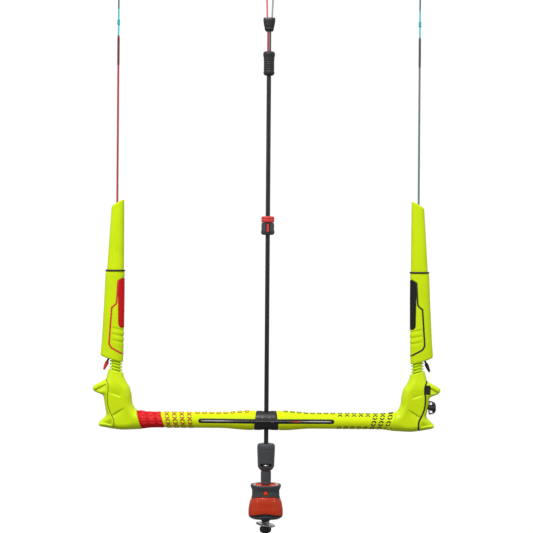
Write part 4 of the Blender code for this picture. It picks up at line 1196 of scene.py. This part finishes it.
def housings(side):
    sign = -1 if side == "left" else 1
    seam_half = 0.35 if side == "left" else 1.25
    line = [(p.x, p.z) for p in smooth_path([(x, 0, z) for x, z in SEAM], 2.0)]
    inner_side = [(250.2, -60.0)] + line[::-1] + [(265.6, 130.0), (120.0, 130.0),
                                                 (120.0, -60.0)]

    step = 0.8
    grid = field_grid((203, -17.5, -20), (268, 17.5, 86), step)
    x, y, z = grid
    body, _ = end_body(grid)
    past_seam = within(inner_side, x, z)
    top = (z - 80.6 - NECK_SLANT * (x - HINGE_X)) / math.hypot(1, NECK_SLANT)
    joint = (BAND_X[1] + GAP + END_SLANT * z - x) / math.hypot(1, END_SLANT)
    body = both(body, top, 1.6)
    body = both(body, joint, 0.5)
    house = both(body, past_seam + seam_half, 0.9)
    house = both(house, np.where(x < 223, CORE_R + 0.2 - np.hypot(y, z), -9), 0.3)
    made = field_piece(f"{side}_end_shell", grid, house, "neon_shell", sign)
    stands_for(made, f"{side}_housing")

    grid = field_grid((246, -16.5, -19), (290, 16.5, 72), 0.75)
    x, y, z = grid
    body, _ = end_body(grid)
    past_seam = within(inner_side, x, z)
    cap = both(body, seam_half - past_seam, 0.9)
    if side == "right":
        cap = both(cap, SHAFT_HOLE_R - np.hypot(y, z - KNOB_Z), 0.4)
        cap = both(cap, -button_pocket(grid), 0.5)
    made = field_piece(f"{side}_horns", grid, cap, "neon_shell", sign)
    stands_for(made, f"{side}_horn_cap")

    # what shows in the seam: a black seal on the right; on the left a dark olive strip in the seam's
    # floor, which is painted shade
    grid = field_grid((246, -16.5, -19), (270, 16.5, 72), 0.55)
    x, y, z = grid
    body, _ = end_body(grid)
    past_seam = within(inner_side, x, z)
    if side == "right":
        seal = np.maximum(body + 0.2, np.abs(past_seam) - 1.05)
        seal = np.maximum(seal, SHAFT_HOLE_R - np.hypot(y, z - KNOB_Z))
        seal = np.maximum(seal, -button_pocket(grid))
        made = field_piece("right_seal", grid, seal, "black_rubber", sign, rounds=1)
        stands_for(made, "right_gasket")
    else:
        # dark olive just under the surface along the seam: painted shade in the seam
        strip = np.maximum(body + 0.7, np.abs(past_seam) - 0.8)
        made = field_piece("left_seam_shade_strip", grid, strip, "seam_shade_olive", sign, rounds=1)
        extra(made, "left_housing")


def winder_parts():
    lobes = 8
    low, high = box_of("trim_knob")
    grid = field_grid((low.x - 1, -13, KNOB_Z - 13), (high.x + 1.5, 13, KNOB_Z + 13), 0.45)
    x, y, z = grid
    r, a = np.hypot(y, z - KNOB_Z), np.arctan2(z - KNOB_Z, y)
    # a lobed dome, hollow round its hub, with windows through its side between the ribs
    dome = np.sqrt(np.clip(1 - ((x - low.x) / (high.x - low.x + 0.6)) ** 2, 0, 1)) ** 0.55
    outer = (10.5 + 0.8 * np.cos(lobes * a)) * dome
    shell = both(r - outer, np.maximum(low.x - x, x - high.x), 0.8)
    hollow = np.maximum(np.maximum(r - 8.9, 4.9 - r), np.maximum(low.x - 1 - x, x - low.x - 6.4))
    shell = both(shell, -hollow, 0.5)
    ribs = 4
    rib = np.abs(np.mod(a / math.tau * ribs + 0.5, 1.0) - 0.5) * math.tau / ribs * r
    window = np.maximum(np.maximum(2.2 - rib, 7.5 - r),
                        np.maximum(low.x + 1.2 - x, x - low.x - 5.8))
    shell = both(shell, -window, 0.4)
    made = field_piece("winder_knob", grid, shell, "black_plastic", rounds=1)
    stands_for(made, "trim_knob")

    low, high = button_box()
    grid = field_grid(low - Vector((1, 1, 1)), high + Vector((1, 1, 1)), 0.35)
    x, y, z = grid
    mid, half = (low + high) / 2, (high - low) / 2
    block = both(both(np.abs(x - mid.x) - half.x, np.abs(z - mid.z) - half.z, 1.2),
                 np.abs(y - mid.y) - half.y, 1.0)
    ribs = 0.35 * np.exp(-((np.mod(z - mid.z + 1.1, 2.2) - 1.1) / 0.45) ** 2)
    ribs = ribs * (np.abs(z - mid.z) < 4.4) * step_up(low.y + 2 - y, 0, 1)
    # room behind for its spring
    spring_hole = np.maximum(np.hypot(x - 267.2, z - 51.8) - 2.8, -8.4 - y)
    button = both(block + ribs, -spring_hole, 0.3)
    made = field_piece("winder_button", grid, button, "black_plastic", rounds=1)
    stands_for(made, "trim_release_button")


# ---------------------------------------------------------------- centre line


def centre_line():
    tube_top, tube_low = 588.0, -52.0
    wall = [(2.4, tube_low), (3.7, tube_low)]
    wall += [(3.7, tube_low + (tube_top - tube_low) * k / 40) for k in range(1, 40)]
    wall += [(3.7, tube_top), (2.4, tube_top)]
    made = turned("coated_tube", wall, "tube_coating", 40, rounding=0.3)
    stands_for(made, "depower_tube")

    low, high = 569.3, 608.0
    outer = [(4.0, low), (7.0, low), (7.9, low + 0.8), (9.1, low + 3), (9.2, low + 4.5)]
    for k in range(5):
        z = low + 8 + 3.6 * k
        outer += [(8.8, z - 0.9), (8.2, z), (8.8, z + 0.9)]
    outer += [(9.0, high - 9.5), (9.8, high - 6), (9.9, high - 4), (9.3, high - 1.2),
              (8.4, high), (4.0, high)]
    made = turned("collar", outer, "black_rubber", 64, rounding=0.5)
    stands_for(made, "upper_collar")

    low_z, high_z = SPLITTER_Z
    rings = []
    for t in np.linspace(0, 1, 15):
        z = low_z + (high_z - low_z) * t
        half_x = 6.8 + 3.5 * t + 0.5 * math.sin(math.pi * t)
        half_y = 4.4 + 1.2 * t
        lip = 1.2 * max(0, 1 - min(t, 1 - t) * 9)
        waist = 0.45 * math.exp(-((t - 0.3) / 0.05) ** 2)
        rings.append([((half_x - lip - waist) * squared(math.cos(a), 0.62),
                       (half_y - lip - waist) * squared(math.sin(a), 0.62),
                       z) for a in (math.tau * k / 48 for k in range(48))])
    made = face_out(piece("line_divider", *loft(rings), "black_plastic"))
    stands_for(made, "line_splitter")


def stopper():
    grid = field_grid((-13.5, -13.5, 304), (13.5, 13.5, 328), 0.5)
    x, y, z = grid
    r = np.hypot(x, y)
    outer = np.interp(z, (304, 306, 308, 312, 320, 326, 328),
                      (8.4, 9.4, 10.8, 11.7, 10.9, 10.2, 10.2))
    floor = 306.0
    body = both(both(r - outer, floor - z, 2.4), z - 326.0, 0.8)
    body = both(body, 4.0 - r, 0.5)
    key_x, key_z, key_middle = 2.3, 7.2, 317.0
    pocket = np.maximum(np.maximum(np.abs(x) - key_x - 1.4, np.abs(z - key_middle) - key_z - 0.9),
                        y + 5.2)
    body = both(body, -pocket, 0.4)
    # shallow finger scoops on both sides
    for side in (-1, 1):
        scoop = 9.0 - np.sqrt(((x - side * 19.2) / 1.0) ** 2 + (y / 1.2) ** 2
                              + ((z - 316.0) / 1.1) ** 2)
        body = both(body, scoop, 1.2)
    # shallow flutes round it
    turn = np.arctan2(y, x)
    body = body + 0.35 * np.cos(turn * 14) ** 8 * step_up(z, 307, 310) * step_up(326 - z, 0, 3)
    made = field_piece("stopper_shell", grid, body, "slate_rubber", rounds=1)
    stands_for(made, "stopper_body")
    # a darker fill round the key, up to the body's surface: painted shade of the pocket round the
    # key
    key_gap_shade = np.maximum(both(r - outer - 0.15, pocket + 0.2, 0.4), 6.4 + y)
    key_hole = np.maximum(np.abs(x) - key_x, np.abs(z - key_middle) - key_z)
    key_gap_shade = np.maximum(key_gap_shade, -key_hole)
    extra(field_piece("stopper_key_gap_shade", grid, key_gap_shade, "dark_rubber", rounds=1), "stopper_body")

    ring = [(4.0, 326.5), (9.9, 326.5), (10.5, 327.4), (10.8, 329.4), (10.5, 331.2),
            (10.4, 332.0), (10.9, 333.0), (10.8, 334.9), (9.4, 336.6), (4.0, 336.6)]
    stands_for(turned("stopper_bumper", ring, "red_plastic", 64, rounding=0.7), "stopper_ring")

    grid = field_grid((-3.4, -13, 309), (3.4, -5, 325), 0.3)
    x, y, z = grid
    wide = 2.0 - 0.5 * step_up(z, 318, 325)
    block = both(both(np.abs(x) - wide, np.abs(z - 317.0) - 6.9, 1.4), np.abs(y + 9.6) - 2.3,
                 0.8)
    made = field_piece("stopper_key", grid, block, "red_plastic", rounds=1)
    stands_for(made, "stopper_button")


def swivel_parts():
    low, high = -82.0, -38.0
    grid = field_grid((-16, -16, low - 1.5), (16, 16, high + 1.5), 0.6)
    x, y, z = grid
    r = np.hypot(x, y)
    outer = np.interp(z, (low, low + 3, low + 6, low + 16, high - 7, high - 3, high),
                      (9.4, 11.6, 13.6, 14.0, 14.85, 14.5, 13.4))
    body = both(both(r - outer, low - z, 1.4), z - high, 2.6)
    inner = np.where(z > -56, 4.0, np.where(z > low + 5, 10.2, 6.4))
    body = both(body, inner - r, 0.5)
    window = np.hypot(x / 9.6, (z + 72.8) / 3.1) - 1
    body = both(body, -np.maximum(window * 3.0, y), 0.4)
    ridge = 0.35 * np.exp(-((r - outer + 1.8) / 0.5) ** 2)
    body = body + ridge * step_up(z, high - 3, high - 1)
    for level in (high - 9.5, low + 18.5):
        body = body + 0.35 * np.exp(-((z - level) / 0.6) ** 2)
    made = field_piece("swivel_boot", grid, body, "grey_rubber", rounds=1)
    stands_for(made, "swivel_cover")

    shaft = [(0, -112), (5.4, -112), (5.4, -78), (7.4, -77), (9.2, -74), (9.2, -68), (7.5, -64),
             (0, -64)]
    stands_for(turned("swivel_pin", shaft, "steel", 48), "swivel_shaft")
    stem = [(5.8, -105.0), (8.2, -105.0), (8.5, -103), (8.5, -101.5), (8.0, -100.5),
            (8.5, -99.5), (8.5, low - 3.5), (7.9, low - 0.4), (5.8, low - 0.4)]
    stands_for(turned("swivel_collar", stem, "grey_rubber", 48), "swivel_stem")
    dome = [(0, 3.1), (0.9, 3.0), (2.4, 2.3), (3.4, 1.0), (3.7, -0.5), (0, -0.5)]
    tip = Matrix.Translation((0, -9.7, -73.2)) @ Matrix.Diagonal((1.35, 1, 0.6, 1))
    tip = tip @ Matrix.Rotation(math.pi / 2, 4, "X")
    extra(turned("swivel_ball", dome, "steel", 40, turn=tip), "swivel_cover")
    # a dark glossy ring in the bearing pocket behind the window: painted shade inside the cover
    pocket = [(9.0, -79), (9.95, -79), (9.95, -70), (9.0, -70)]
    extra(turned("swivel_window_shade", pocket, "dark_glass", 48), "swivel_cover")


DEPTH_SHARE = 0.86


def cross_section(x, y, half_x, panel, power):
    """A squared oval with a flat front panel and slanted facets at its sides."""
    half_y = half_x * DEPTH_SHARE
    oval = ((np.abs(x) / half_x) ** power + (np.abs(y) / half_y) ** power) ** (1 / power)
    oval = (oval - 1) * half_y
    fall = half_y * 0.62
    run = half_x - panel
    facet = ((np.abs(x) - panel) * fall + (np.abs(y) - half_y) * run) / np.hypot(fall, run)
    return both(oval, facet, 1.0)


def panel_rise(x):
    """How far the handle's front and back panels stand up into the soft grip."""
    return 3.4 * np.clip((21.5 - np.abs(x)) / 7.5, 0, 1)


def release_parts():
    low, top = -157.7, -105.2
    grid = field_grid((-30, -26, low - 1.5), (30, 26, -103), 0.75)
    x, y, z = grid
    rise = panel_rise(x) * step_up(z, -142, -129)
    half_x = np.interp(z - rise, (low, low + 3, -145, -135, -128.6, -127.6, -127.2, top),
                       (28.2, 28.5, 28.4, 26.8, 24.6, 22.2, 21.2, 21.2))
    panel = np.interp(z, (low, -130), (17.5, 12.5))
    power = np.interp(z, (low, -145, -128), (3.4, 3.2, 2.6))
    handle = cross_section(x, y, half_x, panel, power)
    arch = low + 2.6 + 4.6 * np.clip(1 - (x / 25) ** 2, 0, 1) * (np.abs(y) > 14)
    handle = both(handle, arch - z, 0.8)
    handle = both(handle, z - top, 0.6)
    bore = np.where(z > -136, 16.4 - np.hypot(x, y), 13.4 - np.hypot(x, y))
    wide = np.interp(z, (low, low + 9.5, low + 12), (25.6, 25.2, 21.0))
    cup = wide * DEPTH_SHARE - np.hypot(x * DEPTH_SHARE, y)
    bore = np.where(z < low + 13, cup, bore)
    handle = both(handle, bore, 0.4)
    made = field_piece("release_shell", grid, handle, "orange_gloss", rounds=1, angle=32)
    stands_for(made, "release_handle")

    grid = field_grid((-28, -25, -129), (28, 25, -103.5), 0.7)
    x, y, z = grid
    half_x = np.interp(z, (-127.2, -124, -114, -109, -106.4, top),
                       (24.0, 22.9, 22.6, 24.8, 25.4, 24.9))
    sleeve = cross_section(x, y, half_x, 12.5, 2.8)
    for level in (-124.0, -121.4, -118.8, -116.2):
        sleeve = sleeve + 0.45 * np.exp(-((z - level) / 0.55) ** 2)
    sleeve = both(both(sleeve, -127.2 + panel_rise(x) - z, 0.8), z - top, 1.6)
    inner = cross_section(x, y, np.full_like(half_x, 21.6), 12.5, 2.6)
    sleeve = both(sleeve, -inner, 0.3)
    mark = within([(-5.2, -120.2), (4.9, -120.2), (-0.1, -112.0)], x, z)
    sleeve = both(sleeve, -np.maximum(mark, y + 17.6), 0.3)
    made = field_piece("release_soft_grip", grid, sleeve, "slate_rubber", rounds=1)
    stands_for(made, "release_grip")

    # the return spring, which the handle presses up against the core's flange
    coil_r, bottom, rise, turns, steps = 14.9, -132.7, 21.2, 4, 24
    route = [(coil_r * math.cos(math.tau * k / steps), coil_r * math.sin(math.tau * k / steps),
              bottom + rise * k / (turns * steps)) for k in range(turns * steps + 1)]
    coil, _ = tube("release_coil", route, 1.8, "steel", 10, 2.0)
    stands_for(coil, "release_spring")
    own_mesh(coil)

    # the coloured arrow let into the soft grip
    front = -22.6 * DEPTH_SHARE
    outline = rounded_outline([(-4.7, -119.9), (4.4, -119.9), (-0.1, -112.7)], 1)
    rings = [[(px * s, front + off, -117.4 + (pz + 117.4) * s) for px, pz in outline]
             for s, off in ((1.0, 1.2), (1.0, 0.1), (0.9, -0.15), (0.3, -0.2))]
    arrow = face_out(piece("release_arrow", *loft(rings), "orange_matt"))
    extra(arrow, "release_grip")

    rim = [(7.2, low - 3.0), (22, low - 3.0), (24.8, low - 1.6), (27.8, low + 0.6),
           (27.6, low + 2.1), (26, low + 2.3), (24.0, low + 2.3), (23.8, low + 8.4),
           (20.4, low + 8.4), (20.2, low + 1.0), (7.2, low + 1.0)]
    outline = softened(rim, 0.6)
    rings = []
    for k in range(96):
        a = math.tau * k / 96
        c, s = math.cos(a), math.sin(a)
        ring = []
        for r, z in outline:
            blend = min(max((r - 12) / 10, 0), 1)
            p = 2 / (2 + 0.9 * blend)
            ring.append((r * squared(c, p),
                         r * (1 - (1 - DEPTH_SHARE) * blend) * squared(s, p), z))
        rings.append(ring)
    made = face_out(piece("release_rim", *loft(rings, closed=True), "rim_slate"))
    stands_for(made, "release_base")

    post = [(0, -149), (3.4, -149), (5.2, -151), (5.2, -153.6), (3.3, -154.6), (3.3, -158),
            (6.6, -158.6), (6.6, -161.0), (10.3, -161.2), (10.1, -162.4), (7.6, -164.6),
            (6.4, -166.2), (5.6, -170.5), (6.4, -174.8), (0, -174.8)]
    stands_for(turned("release_post", post, "steel", 48, rounding=0.5), "loop_post")

    tilt = Matrix.Translation((0, 0, -171.5)) @ Matrix.Rotation(math.radians(9), 4, "Y")
    ring = [(11.2, -1.3), (15.2, -1.3), (16.3, -0.6), (16.4, 0.6), (14.8, 1.3), (9.0, 1.3),
            (8.1, 0.7), (8.0, -0.4)]
    stands_for(turned("safety_ring", ring, "steel", 80, turn=tilt, rounding=0.8), "leash_ring")

    low, high = -184.5, -175.2
    socket = [(0, low), (7.4, low), (8.8, low + 1.2), (9.5, low + 3.2), (9.9, high - 3.4),
              (9.7, high - 1.2), (8.6, high), (0, high)]
    stands_for(turned("loop_cap", socket, "black_plastic", 64, rounding=0.8,
                      ripple=lambda a, r, z: -0.22 * (0.5 + 0.5 * math.cos(18 * a)) * (r > 9.2)),
               "loop_socket")

    route = ((-5.3, -184.8), (-5.3, -192), (-9.5, -203), (-18.5, -218), (-24.5, -236),
             (-23.5, -256), (-14, -269.5), (0, -273.5))
    leg = [(0, y, z) for y, z in route]
    path = leg + [(0, -y, z) for _, y, z in leg[-2::-1]]
    loop, _ = tube("loop_hose", path, 9.6, "grey_rubber", 28, 1.6)
    stands_for(loop, "harness_loop")


# ---------------------------------------------------------------- kept CAD nodes and making


KEPT_NODES = ("guide_ring", "bar_core", "trim_spool", "trim_pulley", "pulley_pin", "button_spring",
          "release_core", "release_latch", "latch_pin")


def carried_over():
    """CAD nodes whose shape is right keep it, with a proper finish."""
    for name in KEPT_NODES:
        node = frame["nodes"][name]
        paint = studio_mats["orange_matt" if name == "release_core" else SLOTS[name]]
        node.data.materials.clear()
        node.data.materials.append(paint)


camera()
steering_lines("left", "red_line", "dark_red_line")
steering_lines("right", "grey_line", "dark_grey_line")
front_lines()
studio()
floats("left", "red_foam", "stripe_red")
floats("right", "black_foam", "pattern_black")
for hand in ("left", "right"):
    necks(hand)
    housings(hand)
retainers("left", "red_rubber")
retainers("right", "black_rubber")
grips()
trim_parts()
winder_parts()
centre_line()
stopper()
swivel_parts()
release_parts()
carried_over()
